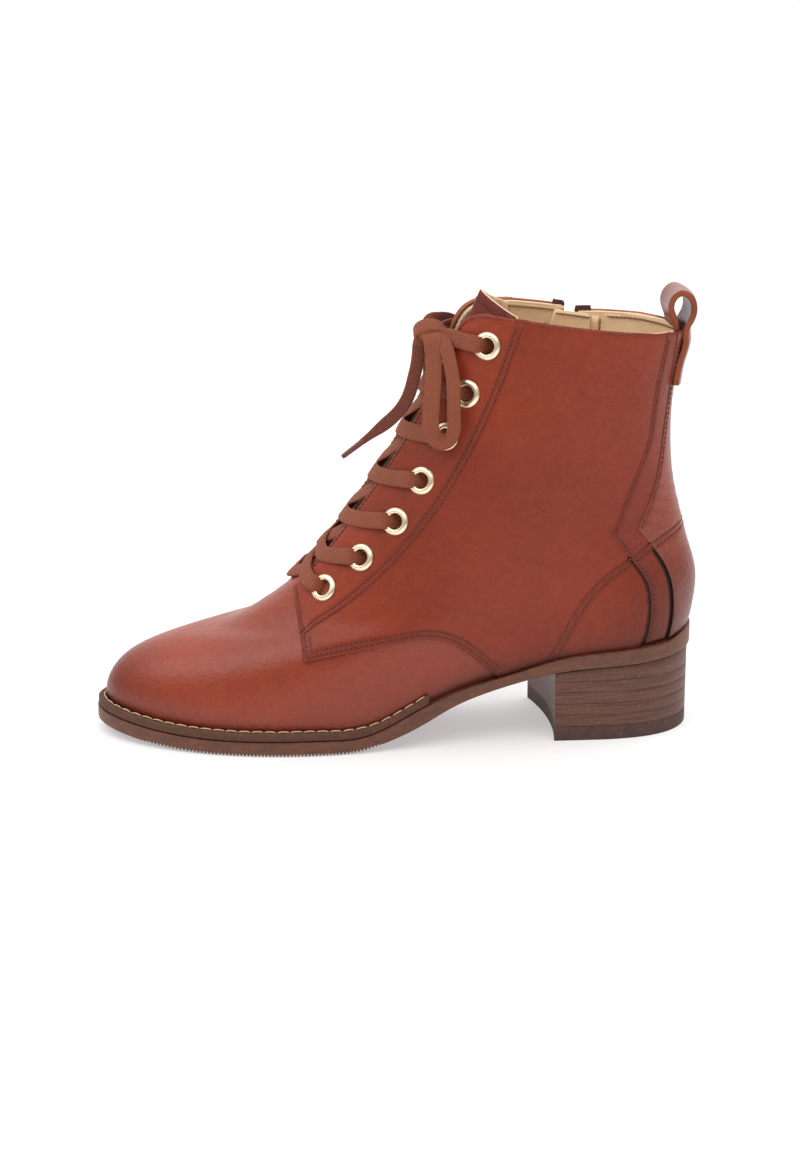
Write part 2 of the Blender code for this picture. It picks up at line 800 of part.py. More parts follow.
def eyelet_places():
    """Name, side and place of each eyelet."""
    for word, side in SIDES.items():
        for i in range(EYELET_COUNT):
            yield f"eyelet_{word}_{i + 1}", side * EYELETS["around"][i], EYELETS["level"][i]


def add_eyelets():
    """Turned brass rings: a domed flange outside and a barrel through the leather."""
    barrel_end = -(EYESTAY_LIFT + WALL)
    profile = [
        (EYELET_RADIUS, GAP),
        (EYELET_BARREL, GAP),
        (EYELET_BARREL, barrel_end),
        (EYELET_BORE, barrel_end),
        (EYELET_BORE, EYELET_RIM / 2),
        (EYELET_CREST, EYELET_RIM),
    ]
    mesh = bpy.data.meshes.new("eyelet_profile")
    corners = len(profile)
    mesh.from_pydata([(r, 0.0, z) for r, z in profile], [(i, (i + 1) % corners) for i in range(corners)], [])
    mesh.materials.append(BRASS)
    for name, around, level in eyelet_places():
        eyelet = add_piece(name, mesh, None)
        eyelet.matrix_world = frame_on_upper(around, level, EYESTAY_LIFT)
        turned = eyelet.modifiers.new("turned", "SCREW")
        turned.steps = turned.render_steps = EYELET_STEPS
        turned.use_merge_vertices = True
        turned.merge_threshold = 1e-5
        turned.use_smooth_shade = True


def add_hole_cutter():
    """Cylinders for all the eyelet holes."""
    bm = bmesh.new()
    for _, around, level in eyelet_places():
        bmesh.ops.create_cone(
            bm, cap_ends=True, segments=EYELET_STEPS, radius1=HOLE_RADIUS, radius2=HOLE_RADIUS,
            depth=CUTTER_DEPTH, matrix=frame_on_upper(around, level, 0.0),
        )  # fmt: skip
    return add_piece("eyelet_holes", mesh_from("eyelet_holes", bm), None, cutters)


def punch(piece, cutter):
    """Cuts the eyelet holes."""
    holes = piece.modifiers.new("eyelet holes", "BOOLEAN")
    holes.operation = "DIFFERENCE"
    holes.object = cutter


# Upper and the pieces on it


def add_upper(holes):
    """The hollow wall, open at the collar, the throat and underneath, with a slit for the zip."""
    patch = flat_patch(columns_between(-1.0, 1.0), LEVEL_ROWS)
    trim(patch, throat_field)
    cut_slit(patch)
    upper = add_shell("upper", patch, 0.0, WALL, LEATHER)
    punch(upper, holes)


def side_columns(side, first, last):
    """Columns on one side, from one share of the way round to another."""
    return np.sort(side * columns_between(first, last))


SEAM_HALF = 0.0003  # half the gap between neighbours on the upper
COLLAR_INSET = 0.0008
FEATHER_INSET = 0.0018
EYESTAY_REACH = 0.55  # shares of the way round where the grids of the overlays start or end
QUARTER_START = 0.1
BACK_START = 0.5


def overlay_rows():
    """Rows of the upper's grid, with the ends drawn in from the collar and the feather line."""
    rows = LEVEL_ROWS.copy()
    rows[0] = FEATHER_INSET / (COLLAR_HEIGHT - HEEL_HEIGHT)
    rows[-1] = 1 - COLLAR_INSET / (COLLAR_HEIGHT - HEEL_HEIGHT)
    return rows


def add_overlays(holes):
    """Eyestays, quarters, back bands and the back piece, each cut from the upper's own surface."""
    for word, side in SIDES.items():
        eyestay = flat_patch(side_columns(side, 0.0, EYESTAY_REACH), overlay_rows())
        trim(
            eyestay,
            derby_front,
            derby_lower,
            turned_round(shifted(eyestay_line, SEAM_HALF)),
            facing_field,
        )
        piece = add_shell(f"eyestay_{word}", eyestay, EYESTAY_LIFT, EYESTAY_LIFT - OVERLAY_GAP, LEATHER)
        punch(piece, holes)
        quarter = flat_patch(side_columns(side, QUARTER_START, 1.0), overlay_rows())
        trim(
            quarter,
            derby_front,
            derby_lower,
            shifted(eyestay_line, -SEAM_HALF),
        )
        trim_at_band(quarter, BAND_FRONT, FRONT_KINK, behind=False, by=SEAM_HALF)
        if side > 0:
            cut_slit(quarter)
        add_shell(f"quarter_{word}", quarter, QUARTER_LIFT, QUARTER_LIFT - OVERLAY_GAP, LEATHER)
        band = flat_patch(side_columns(side, BACK_START, 1.0), overlay_rows())
        trim_at_band(band, BAND_FRONT, FRONT_KINK, behind=True, by=-SEAM_HALF)
        trim_at_band(band, BAND_REAR, REAR_KINK, behind=False, by=SEAM_HALF)
        add_shell(f"back_band_{word}", band, BAND_LIFT, BAND_LIFT - OVERLAY_GAP, LEATHER_DARK)
    counter = flat_patch(columns_between(BACK_START, 2 - BACK_START), overlay_rows())
    trim_at_band(counter, BAND_REAR, REAR_KINK, behind=True, by=-SEAM_HALF)
    add_shell("back_counter", counter, COUNTER_LIFT, COUNTER_LIFT - OVERLAY_GAP, LEATHER)


TONGUE_TOP = 0.1905
TONGUE_SLOPE = 0.40  # how steeply the top edge falls to both sides of its peak
TONGUE_ROUND = 0.0015  # how far off the middle the peak is rounded
TONGUE_HALF = (0.017, 0.024)  # half width at the base and at the top
TONGUE_DEPTH = (0.0027, 0.0057)  # depth of its outer face at the base and at the top
TONGUE_THICKNESS = 0.0020
TONGUE_FOLD = 1.0  # how far its upper end goes back for each distance off the middle
FOLD_FOOT = 0.165  # height where the fold starts
FOLD_RUN = 0.020  # height over which it grows
TONGUE_LEVELS = (0.585, 1.06)
TONGUE_REACH = 0.3  # half the width of the tongue's grid, as a share of the way round
TONGUE_COLUMNS = 11
TONGUE_ROWS = 11


def tongue_rise(level):
    """0 at the tongue's base, 1 at its top."""
    return (np.asarray(level) - TONGUE_LEVELS[0]) / (TONGUE_LEVELS[1] - TONGUE_LEVELS[0])


def add_tongue():
    """The tongue, inside the upper and standing a little above the collar."""

    def lift(around, level):
        rise = smooth_step(tongue_rise(level))
        return -(TONGUE_DEPTH[0] + (TONGUE_DEPTH[1] - TONGUE_DEPTH[0]) * rise)

    def sides(around, level):
        half = TONGUE_HALF[0] + (TONGUE_HALF[1] - TONGUE_HALF[0]) * tongue_rise(level)
        return half - aside(around, level)

    def top(around, level):
        point = lifted(around, level, lift(around, level))
        away = np.hypot(aside(around, level), TONGUE_ROUND) - TONGUE_ROUND
        return TONGUE_TOP - TONGUE_SLOPE * away - point[:, 2]

    rows = np.linspace(*TONGUE_LEVELS, TONGUE_ROWS)
    ridge = lifted(0 * rows, rows, lift(0 * rows, rows))

    def fold(bm):
        for v in bm.verts:
            share = smooth_step((v.co.z - FOLD_FOOT) / FOLD_RUN)
            place = np.interp(v.co.z, ridge[:, 2], ridge[:, 0]) + TONGUE_FOLD * abs(v.co.y)
            v.co.x += share * (place - v.co.x)

    patch = flat_patch(np.linspace(-TONGUE_REACH, TONGUE_REACH, TONGUE_COLUMNS), rows)
    trim(patch, sides, top)
    add_shell("tongue", patch, lift, TONGUE_THICKNESS, LEATHER_DARK, fold)


LOOP_WIDTH = 0.0205
LOOP_THICKNESS = 0.0020
LOOP_CLEAR = 0.0005
LOOP_FOOT = 0.150  # height of the lower ends of both legs
LOOP_STEPS = 21
LOOP_BEND = (0.8, 1.35, 0.3)  # bend of the outer leg, the inner leg and the loop, as shares of the collar's
LOOP_FREE = 0.008  # height over which the strap flattens
LOOP_ACROSS = 5
BEND_PLACE = 0.94  # place round the collar where its bend is measured
# Middle line of the free loop above the collar, from outside to inside: place behind the collar's back
# edge and height above it, in millimetres
LOOP_LINE = table("behind above", [
    (3.3, 4.6),
    (4.8, 8.8),
    (5.3, 13.0),
    (3.4, 17.4),
    (-0.2, 18.9),
    (-3.5, 16.5),
    (-4.4, 12.4),
    (-3.1, 8.2),
    (-1.4, 4.6),
])  # fmt: skip


def add_pull_loop():
    """The strap over the back of the collar: a leg outside, a free loop above, and a leg inside."""
    levels = np.linspace(0.5, 1.0, FINE_STEPS)
    back = last_surface(np.ones(FINE_STEPS), levels)
    collar = back[-1]
    legs = np.array([LOOP_FOOT, (LOOP_FOOT + collar[2]) / 2, collar[2]])
    wall_x = np.interp(legs, back[:, 2], back[:, 0])
    half = LOOP_THICKNESS / 2 + LOOP_CLEAR
    outside = np.column_stack([wall_x + COUNTER_LIFT + half, legs])
    inside = np.column_stack([wall_x - WALL - half - 2 * GAP, legs])[::-1]
    free = collar[[0, 2]] + np.column_stack([LOOP_LINE["behind"], LOOP_LINE["above"]]) * MM
    line = np.concatenate([outside, free, inside])
    run = np.concatenate([[0.0], np.cumsum(np.linalg.norm(np.diff(line, axis=0), axis=1))])
    places = np.linspace(0.0, run[-1], LOOP_STEPS)
    path = np.column_stack([spline(run, line[:, k], places) for k in (0, 1)])
    along = np.gradient(path, axis=0)
    out = np.column_stack([along[:, 1], -along[:, 0]])
    out /= np.linalg.norm(out, axis=1, keepdims=True)
    # The legs bend round the back of the shaft, the inner one more, and the free loop is flatter
    beside = last_surface([BEND_PLACE], [1.0])[0]
    bend = (collar[0] - beside[0]) / beside[1] ** 2
    leg = np.where(places < run[-1] / 2, LOOP_BEND[0], LOOP_BEND[1])
    free_share = smooth_step((path[:, 1] - collar[2]) / LOOP_FREE)
    bow = bend * (leg + (LOOP_BEND[2] - leg) * free_share)
    across = np.linspace(-LOOP_WIDTH / 2, LOOP_WIDTH / 2, LOOP_ACROSS)
    rings = []
    for place, facing, curve in zip(path, out, bow):
        ring = []
        for sign, row in ((1, across), (-1, across[::-1])):
            for y in row:
                x, z = place + facing * sign * LOOP_THICKNESS / 2
                ring.append((x - curve * y**2, y, z))
        rings.append(ring)
    add_piece("pull_loop", mesh_from("pull_loop", loft(rings)), LEATHER)


# Lace
LACE_WIDTH = 0.0070
LACE_THICKNESS = 0.0014
LACE_LIFT = 0.0046  # of the lace's middle above the upper, clear of the eyelets
CROSS_STEPS = 7
CROSS_END = 0.66  # a strand goes under the far facing after this share of its way
STRAND_STEP = 0.0006  # how much higher one strand of a crossing lies


def lace_strand(start, end, share, lift):
    """A strand over the upper, from one (around, level) part of the way to another."""
    part = np.linspace(0.0, share, CROSS_STEPS)
    around = start[0] + (end[0] - start[0]) * part
    level = start[1] + (end[1] - start[1]) * part
    path = lifted(around, level, np.full(CROSS_STEPS, lift))
    return ribbon(path, last_normal(around, level), LACE_WIDTH, LACE_THICKNESS)


def add_lacing():
    """The crossings between the eyelets, each joined from two strands, and the bar behind the knot."""
    for i in range(EYELET_COUNT - 1):
        low = EYELETS["around"][i], EYELETS["level"][i]
        high = EYELETS["around"][i + 1], EYELETS["level"][i + 1]
        name = f"lace_cross_{i + 1}"
        strand = lace_strand((-low[0], low[1]), high, CROSS_END, LACE_LIFT)
        piece = add_piece(name, mesh_from(name, strand), LACE)
        other = lace_strand(low, (-high[0], high[1]), CROSS_END, LACE_LIFT + STRAND_STEP)
        cutter = add_piece(f"{name}_second", mesh_from(name, other), None, cutters)
        joined = piece.modifiers.new("crossing", "BOOLEAN")
        joined.operation = "UNION"
        joined.object = cutter
    top = EYELETS["around"][-1], EYELETS["level"][-1]
    bar = lace_strand((-top[0], top[1]), top, 1.0, LACE_LIFT)
    add_piece("lace_top_bar", mesh_from("lace_top_bar", bar), LACE)


# The bow. Routes in millimetres, points chosen along each strand from the knot.
KNOT_PLACE = (-0.0862, -0.0005, 0.1745)
KNOT_RADII = (0.0046, 0.0068, 0.0056)
KNOT_STEPS = (12, 8)
BOW_STEPS = 20
LOOP_OUTER = [
    (-82.8, -12.6, 166.0),
    (-83.1, -17.8, 157.0),
    (-84.1, -22.0, 149.5),
    (-84.9, -25.4, 142.4),
    (-84.8, -27.6, 137.0),
    (-82.4, -29.0, 133.4),
    (-78.5, -29.8, 133.1),
    (-76.1, -30.0, 136.3),
    (-75.6, -29.0, 142.6),
    (-75.5, -27.0, 150.5),
    (-75.6, -23.6, 157.7),
    (-76.6, -18.2, 165.0),
]
LOOP_INNER = [
    (-81.2, 13.5, 166.0),
    (-80.6, 21.0, 157.0),
    (-80.0, 26.5, 147.5),
    (-79.3, 30.4, 139.5),
    (-77.6, 32.8, 134.0),
    (-73.8, 34.4, 131.8),
    (-70.3, 35.2, 134.6),
    (-69.0, 34.8, 142.0),
    (-69.6, 32.0, 150.5),
    (-71.8, 26.8, 158.6),
    (-74.6, 20.0, 165.0),
]
END_OUTER = [
    (-87.9, -4.6, 167.6),
    (-88.6, -7.5, 162.8),
    (-90.7, -11.5, 155.3),
    (-93.3, -14.5, 148.4),
    (-97.1, -16.0, 142.9),
    (-103.0, -17.0, 137.7),
    (-108.9, -17.5, 133.3),
    (-112.7, -17.8, 130.5),
]
END_INNER = [
    (-79.0, 9.5, 176.5),
    (-72.5, 19.0, 174.0),
    (-64.5, 28.0, 166.0),
    (-58.5, 33.0, 154.0),
    (-56.5, 35.0, 141.0),
    (-55.8, 35.6, 130.0),
]
END_WIDTH = 0.0055
AGLET_LENGTH = 0.0115
AGLET_RADIUS = 0.0013
AGLET_TAPER = 0.8
AGLET_SIDES = 8


def smooth_route(points, count):
    """Evenly spaced points on a spline through a route."""
    route = np.array(points, float) * MM
    run = np.concatenate([[0.0], np.cumsum(np.linalg.norm(np.diff(route, axis=0), axis=1))])
    places = np.linspace(0.0, run[-1], count)
    return np.column_stack([spline(run, route[:, k], places) for k in range(3)])


def plane_normal(path):
    """Direction at right angles to the plane that a route lies nearest to."""
    return np.linalg.svd(path - path.mean(axis=0))[2][2]


def add_bow():
    """The knot, two loops, two free ends and the aglets on them."""
    bm = bmesh.new()
    bmesh.ops.create_uvsphere(bm, u_segments=KNOT_STEPS[0], v_segments=KNOT_STEPS[1], radius=1.0)
    bmesh.ops.scale(bm, vec=KNOT_RADII, verts=bm.verts)
    knot = add_piece("lace_knot", mesh_from("lace_knot", bm), LACE)
    knot.location = KNOT_PLACE
    for name, points in (("lace_loop_outer", LOOP_OUTER), ("lace_loop_inner", LOOP_INNER)):
        path = smooth_route(points, BOW_STEPS)
        faces = np.tile(plane_normal(path), (BOW_STEPS, 1))
        body = ribbon(path, faces, LACE_WIDTH, LACE_THICKNESS)
        add_piece(name, mesh_from(name, body), LACE)
    for word, points in (("outer", END_OUTER), ("inner", END_INNER)):
        path = smooth_route(points, BOW_STEPS // 2)
        faces = np.tile((0.0, 1.0, 0.0), (len(path), 1))
        body = ribbon(path, faces, END_WIDTH, LACE_THICKNESS)
        add_piece(f"lace_end_{word}", mesh_from("lace_end", body), LACE)
        along = Vector(path[-1] - path[-2]).normalized()
        bm = bmesh.new()
        bmesh.ops.create_cone(
            bm, cap_ends=True, segments=AGLET_SIDES, radius1=AGLET_RADIUS,
            radius2=AGLET_RADIUS * AGLET_TAPER, depth=AGLET_LENGTH,
        )  # fmt: skip
        aglet = add_piece(f"aglet_{word}", mesh_from("aglet", bm), LEATHER_DARK)
        aglet.location = Vector(path[-1]) + along * (AGLET_LENGTH / 2 + 2 * GAP)
        aglet.rotation_euler = along.to_track_quat("Z", "Y").to_euler()


# Zip
TAPE_THICKNESS = 0.0008
TEETH_DEPTH = 0.0004
TEETH_THICKNESS = 0.0012
TAPE_ENDS = (1.027, 1.012)  # levels of the front and rear tape ends, above the collar
ZIP_COLUMNS = 9
ZIP_ROWS = 9
ZIP_REACH = 0.14  # half the width of the zip's grid, as a share of the way round
ZIP_RUN = 0.03  # how many levels the grid goes on below the zip
TAPE_PAST = 0.004  # length of the tape below the zip's lower end
TEETH_START = 0.0006  # gap between the slit's lower end and the teeth
TEETH_TOP = 0.985  # level where the teeth end
SLIDER_PLACE = (-0.0200, 0.1655)  # middle of the slider in the side view
SLIDER_HALF = 0.0040  # half its width over the slit
SLIDER_NECK = 0.0025  # half its width in the slit
SLIDER_LENGTH = 0.0100
SLIDER_FOOT = -0.0001  # heights above the upper: on the teeth, over the leather, and of the outer face
SLIDER_UNDER = 0.0025
SLIDER_OUT = 0.0044
BRIDGE_RADIUS = 0.0025  # of the bridge's middle line round the pivot
BRIDGE_WIDTH = 0.0020
BRIDGE_THICKNESS = 0.0009
BRIDGE_STEPS = 9
BRIDGE_PAST = 0.16  # how far each end of the bridge goes on past a half turn, in half turns
PIVOT_RISE = 0.0009  # the pivot is this far above the slider's middle, and this far out of its face
PIVOT_OUT = 0.0013
TAB_HALF = 0.0030
TAB_LENGTH = 0.0240
TAB_THICKNESS = 0.0011
TAB_BAR = 0.0006  # half the height of the bar that turns under the bridge
TAB_HOLE_HALF = 0.0017
TAB_HOLE_END = 0.0043
TAB_ROUND_STEPS = 8


def zip_rows(top):
    """Rows from the zip's lower end up to a level."""
    low = locate(*ZIP_BOTTOM, 1)[1]
    return np.linspace(low - ZIP_RUN, top, ZIP_ROWS)


def add_zip():
    """Tape inside the wall and teeth in the slit."""
    middle = locate((ZIP_TOP[0] + ZIP_BOTTOM[0]) / 2, (ZIP_TOP[1] + ZIP_BOTTOM[1]) / 2, 1)[0]
    columns = np.linspace(middle - ZIP_REACH, middle + ZIP_REACH, ZIP_COLUMNS)

    def strip(half):
        return shifted(zip_offset, half), shifted(turned_round(zip_offset), half)

    def tape_top(around, level):
        front, rear = (np.full(len(level), end) - level for end in TAPE_ENDS)
        return np.where(zip_offset(around, level) < 0, front, rear) * COLLAR_HEIGHT

    tape = flat_patch(columns, zip_rows(TAPE_ENDS[0]))
    trim(tape, *strip(TAPE_HALF), shifted(above_zip_end, TAPE_PAST))
    cut(tape, zip_offset)
    trim(tape, tape_top)
    add_shell("zip_tape", tape, -(WALL + OVERLAY_GAP), TAPE_THICKNESS, TAPE)
    teeth = flat_patch(columns, zip_rows(TEETH_TOP))
    trim(teeth, *strip(TEETH_HALF), shifted(above_zip_end, -TEETH_START))
    add_shell("zip_teeth", teeth, -TEETH_DEPTH, TEETH_THICKNESS, BRASS)


def slider_frame():
    """A matrix on the upper under the slider: X along the boot, Y up the zip, Z out."""
    around, level = locate(*SLIDER_PLACE, 1)
    place = Vector(last_surface(around, level)[0])
    out = Vector(last_normal(around, level)[0])
    up = Vector((ZIP_TOP[0] - ZIP_BOTTOM[0], 0.0, ZIP_TOP[1] - ZIP_BOTTOM[1]))
    up = (up - out * up.dot(out)).normalized()
    turn = Matrix((up.cross(out), up, out)).transposed().to_4x4()
    return Matrix.Translation(place) @ turn


def add_slider(frame):
    """The slider, which stays put: a plate over the leather, a neck on the teeth and a bridge."""
    section = [
        (-SLIDER_NECK, SLIDER_FOOT),
        (SLIDER_NECK, SLIDER_FOOT),
        (SLIDER_NECK, SLIDER_UNDER),
        (SLIDER_HALF, SLIDER_UNDER),
        (SLIDER_HALF, SLIDER_OUT),
        (-SLIDER_HALF, SLIDER_OUT),
        (-SLIDER_HALF, SLIDER_UNDER),
        (-SLIDER_NECK, SLIDER_UNDER),
    ]
    ends = (-SLIDER_LENGTH / 2, SLIDER_LENGTH / 2)
    body = loft([[(x, y, z) for x, z in section] for y in ends])
    slider = add_piece("zip_slider", mesh_from("zip_slider", body, smooth=False), BRASS)
    slider.matrix_world = frame
    turn = np.linspace(-BRIDGE_PAST * math.pi, (1 + BRIDGE_PAST) * math.pi, BRIDGE_STEPS)
    spokes = np.column_stack([0 * turn, np.cos(turn), np.sin(turn)])
    arch = (0.0, PIVOT_RISE, SLIDER_OUT + PIVOT_OUT) + spokes * BRIDGE_RADIUS
    body = ribbon(arch, spokes, BRIDGE_WIDTH, BRIDGE_THICKNESS)
    bridge = add_piece("zip_bridge", mesh_from("zip_bridge", body), None, cutters)
    bridge.matrix_world = frame
    joined = slider.modifiers.new("bridge", "BOOLEAN")
    joined.operation = "UNION"
    joined.object = bridge


def add_pull_tab(frame):
    """The pull tab, hanging from the bridge: its origin is on the hinge's axis, its X along that axis."""
    pivot = frame @ Matrix.Translation((0.0, PIVOT_RISE, SLIDER_OUT + PIVOT_OUT))
    turn = np.linspace(math.pi, 2 * math.pi, TAB_ROUND_STEPS)
    end = TAB_HALF - TAB_LENGTH
    outline = [(TAB_HALF * math.cos(a), end + TAB_HALF * math.sin(a)) for a in turn]
    outline += [(TAB_HALF, TAB_BAR), (-TAB_HALF, TAB_BAR)]
    faces = (-TAB_THICKNESS / 2, TAB_THICKNESS / 2)
    body = loft([[(x, y, z) for x, y in outline] for z in faces])
    tab = add_piece("zip_pull", mesh_from("zip_pull", body, smooth=False), BRASS)
    tab.matrix_world = pivot
    bm = bmesh.new()
    bmesh.ops.create_cube(bm, size=1.0)
    bmesh.ops.scale(bm, vec=(2 * TAB_HOLE_HALF, TAB_HOLE_END - TAB_BAR, 4 * TAB_THICKNESS), verts=bm.verts)
    bmesh.ops.translate(bm, vec=(0.0, -(TAB_HOLE_END + TAB_BAR) / 2, 0.0), verts=bm.verts)
    hole = add_piece("zip_pull_hole", mesh_from("zip_pull_hole", bm, smooth=False), None, cutters)
    hole.matrix_world = pivot
    pierced = tab.modifiers.new("hole", "BOOLEAN")
    pierced.operation = "DIFFERENCE"
    pierced.object = hole


hole_cutter = add_hole_cutter()
add_outsole()
add_welt()
add_heel()
add_insole()
add_upper(hole_cutter)
add_overlays(hole_cutter)
add_tongue()
add_pull_loop()
add_eyelets()
add_lacing()
add_bow()
add_zip()
add_slider(slider_frame())
add_pull_tab(slider_frame())
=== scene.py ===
"""The looks of a left ankle boot: a derby front laced over a tongue, an inner zip and a stacked heel.

Metres, +Z up. The toe points along -X, the heel along +X, and the outer side of the foot is at -Y.
"""

import math

import bmesh
import bpy
import numpy as np
from mathutils import Matrix, Vector, kdtree


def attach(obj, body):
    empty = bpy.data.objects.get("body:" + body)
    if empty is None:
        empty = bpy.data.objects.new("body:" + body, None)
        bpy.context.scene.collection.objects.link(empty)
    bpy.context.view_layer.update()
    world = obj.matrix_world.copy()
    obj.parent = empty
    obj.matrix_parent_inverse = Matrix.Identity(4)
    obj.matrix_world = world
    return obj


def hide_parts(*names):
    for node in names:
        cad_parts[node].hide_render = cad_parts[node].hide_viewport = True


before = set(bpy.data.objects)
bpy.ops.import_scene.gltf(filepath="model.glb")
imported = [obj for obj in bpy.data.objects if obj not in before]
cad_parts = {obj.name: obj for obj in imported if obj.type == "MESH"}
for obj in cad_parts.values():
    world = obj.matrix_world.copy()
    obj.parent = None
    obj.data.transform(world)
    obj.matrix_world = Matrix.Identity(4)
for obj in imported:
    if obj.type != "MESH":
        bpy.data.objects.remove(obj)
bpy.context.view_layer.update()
MM = 0.001
PERCENT = 0.01

# Studio
# A light table in a soft tent that is brightest overhead and behind: a glowing white floor, lights over
# the toe, over the heel and in front, and a camera that looks at the outer side from a little above.
CAMERA_PLACE = (-0.1901, -1.0834, 0.400)
CAMERA_TURN = math.radians(5.0)
CAMERA_PITCH = math.radians(17.09)
CAMERA_LENS = 82.74
FLOOR_REACH = 12.0
TENT_SIDE = 0.26
TENT_TOP = 1.40
TENT_BACK = 1.00
TENT_COLOUR = (1.0, 0.99, 0.98, 1.0)
FLOOR_GLOW = 0.40
WHITE = (1.0, 1.0, 1.0, 1.0)
PAPER = (0.62, 0.62, 0.62, 1.0)


def srgb(red, green, blue):
    """Linear colour with alpha, from 0 to 255 values of a display."""
    return [((v / 255 + 0.055) / 1.055) ** 2.4 for v in (red, green, blue)] + [1.0]


def feed(tree, node, inputs):
    """Sets inputs of a shader node, each to a value or to another node's socket."""
    for key, value in inputs.items():
        if isinstance(value, bpy.types.NodeSocket):
            tree.links.new(value, node.inputs[key])
        else:
            node.inputs[key].default_value = value


def add_node(tree, kind, inputs=None, **settings):
    """A shader node with its settings and inputs."""
    node = tree.nodes.new(kind)
    for key, value in settings.items():
        setattr(node, key, value)
    feed(tree, node, inputs or {})
    return node


def arithmetic(tree, operation, *values):
    """The result of a math node."""
    return add_node(tree, "ShaderNodeMath", dict(enumerate(values)), operation=operation).outputs[0]


def new_material(name):
    """A material, its node tree and its shader."""
    material = bpy.data.materials.new(name)
    material.use_nodes = True
    return material, material.node_tree, material.node_tree.nodes["Principled BSDF"]


studio = bpy.context.scene
studio.view_settings.view_transform = "Standard"
tent = bpy.data.worlds.new("tent")
tent.use_nodes = True
sky = tent.node_tree
direction = add_node(sky, "ShaderNodeTexCoord").outputs["Generated"]
bearing = add_node(sky, "ShaderNodeSeparateXYZ", {"Vector": direction})
overhead = arithmetic(sky, "MULTIPLY", bearing.outputs["Z"], bearing.outputs["Z"])
rearward = arithmetic(sky, "MAXIMUM", bearing.outputs["Y"], 0.0)
rear_share = arithmetic(sky, "MULTIPLY", rearward, rearward)
around_boot = arithmetic(sky, "MULTIPLY_ADD", rear_share, TENT_BACK, TENT_SIDE)
brightness = arithmetic(sky, "MULTIPLY_ADD", overhead, TENT_TOP, around_boot)
feed(sky, sky.nodes["Background"], {"Strength": brightness, "Color": TENT_COLOUR})
studio.world = tent

camera = bpy.data.objects.new("camera", bpy.data.cameras.new("camera"))
studio.collection.objects.link(camera)
camera.data.lens = CAMERA_LENS
camera.data.sensor_width = 36.0
camera.data.clip_end = 60.0
camera.location = CAMERA_PLACE
camera.rotation_euler = (math.pi / 2 - CAMERA_PITCH, 0.0, -CAMERA_TURN)
studio.camera = camera


def add_light(name, place, aim, size, power):
    """A square soft box that looks at a point of the boot."""
    light = bpy.data.lights.new(name, "AREA")
    light.size = size
    light.energy = power
    lamp = bpy.data.objects.new(name, light)
    studio.collection.objects.link(lamp)
    lamp.location = place
    lamp.rotation_euler = (Vector(aim) - Vector(place)).to_track_quat("-Z", "Y").to_euler()


add_light("light_over_toe", (-0.95, -0.32, 1.05), (-0.12, 0.0, 0.06), 0.9, 4.0)
add_light("light_over_heel", (0.85, 0.35, 0.95), (0.0, 0.0, 0.10), 0.7, 3.0)
add_light("light_in_front", (-0.05, -0.80, 1.30), (-0.03, 0.02, 0.16), 0.5, 2.3)

floor_mesh = bpy.data.meshes.new("floor")
corners = [(x * FLOOR_REACH, y * FLOOR_REACH, 0.0) for x, y in ((-1, -1), (1, -1), (1, 1), (-1, 1))]
floor_mesh.from_pydata(corners, [], [(0, 1, 2, 3)])
floor = bpy.data.objects.new("floor", floor_mesh)
studio.collection.objects.link(floor)
paper, paper_tree, paper_shader = new_material("white_paper")
feed(paper_tree, paper_shader, {
    "Base Color": PAPER,
    "Roughness": 0.9,
    "Specular IOR Level": 0.1,
    "Emission Color": WHITE,
    "Emission Strength": FLOOR_GLOW,
})  # fmt: skip
floor_mesh.materials.append(paper)

# Insole
# The footbed that the boot is lasted on: a cream leather sock over board, glued down inside. Its sizes
# and those of the last come first, because every later piece is drawn on the last.
LENGTH = 0.257
BALL_WIDTH = 0.089
HEEL_HEIGHT = 0.0356
INSTEP_HEIGHT = 0.0685
COLLAR_HEIGHT = 0.1695
WALL = 0.0018
GAP = 0.0003
FEATHER_GAP = 0.0006


def table(columns, rows):
    """Named columns, from rows of numbers."""
    return dict(zip(columns.split(), np.array(rows, float).T))


# The sole: place in percent of LENGTH, underside and edge in percent of HEEL_HEIGHT
SOLE = table("along under edge", [
    (-87.9, 14.0, 17.4),
    (-79.8, 5.6, 17.4),
    (-70.0, 0.6, 17.4),
    (-62.3, 0.0, 17.4),
    (-48.6, 0.0, 17.4),
    (-44.7, 2.6, 16.4),
    (-41.2, 9.4, 17.3),
    (-37.7, 18.4, 20.5),
    (-33.9, 31.3, 21.5),
    (-29.8, 47.5, 19.1),
    (-24.9, 61.8, 18.0),
    (-18.7, 75.0, 17.6),
    (-12.8, 85.1, 17.8),
    (0.0, 93.0, 18.8),
    (12.1, 100.0, 19.1),
])  # fmt: skip
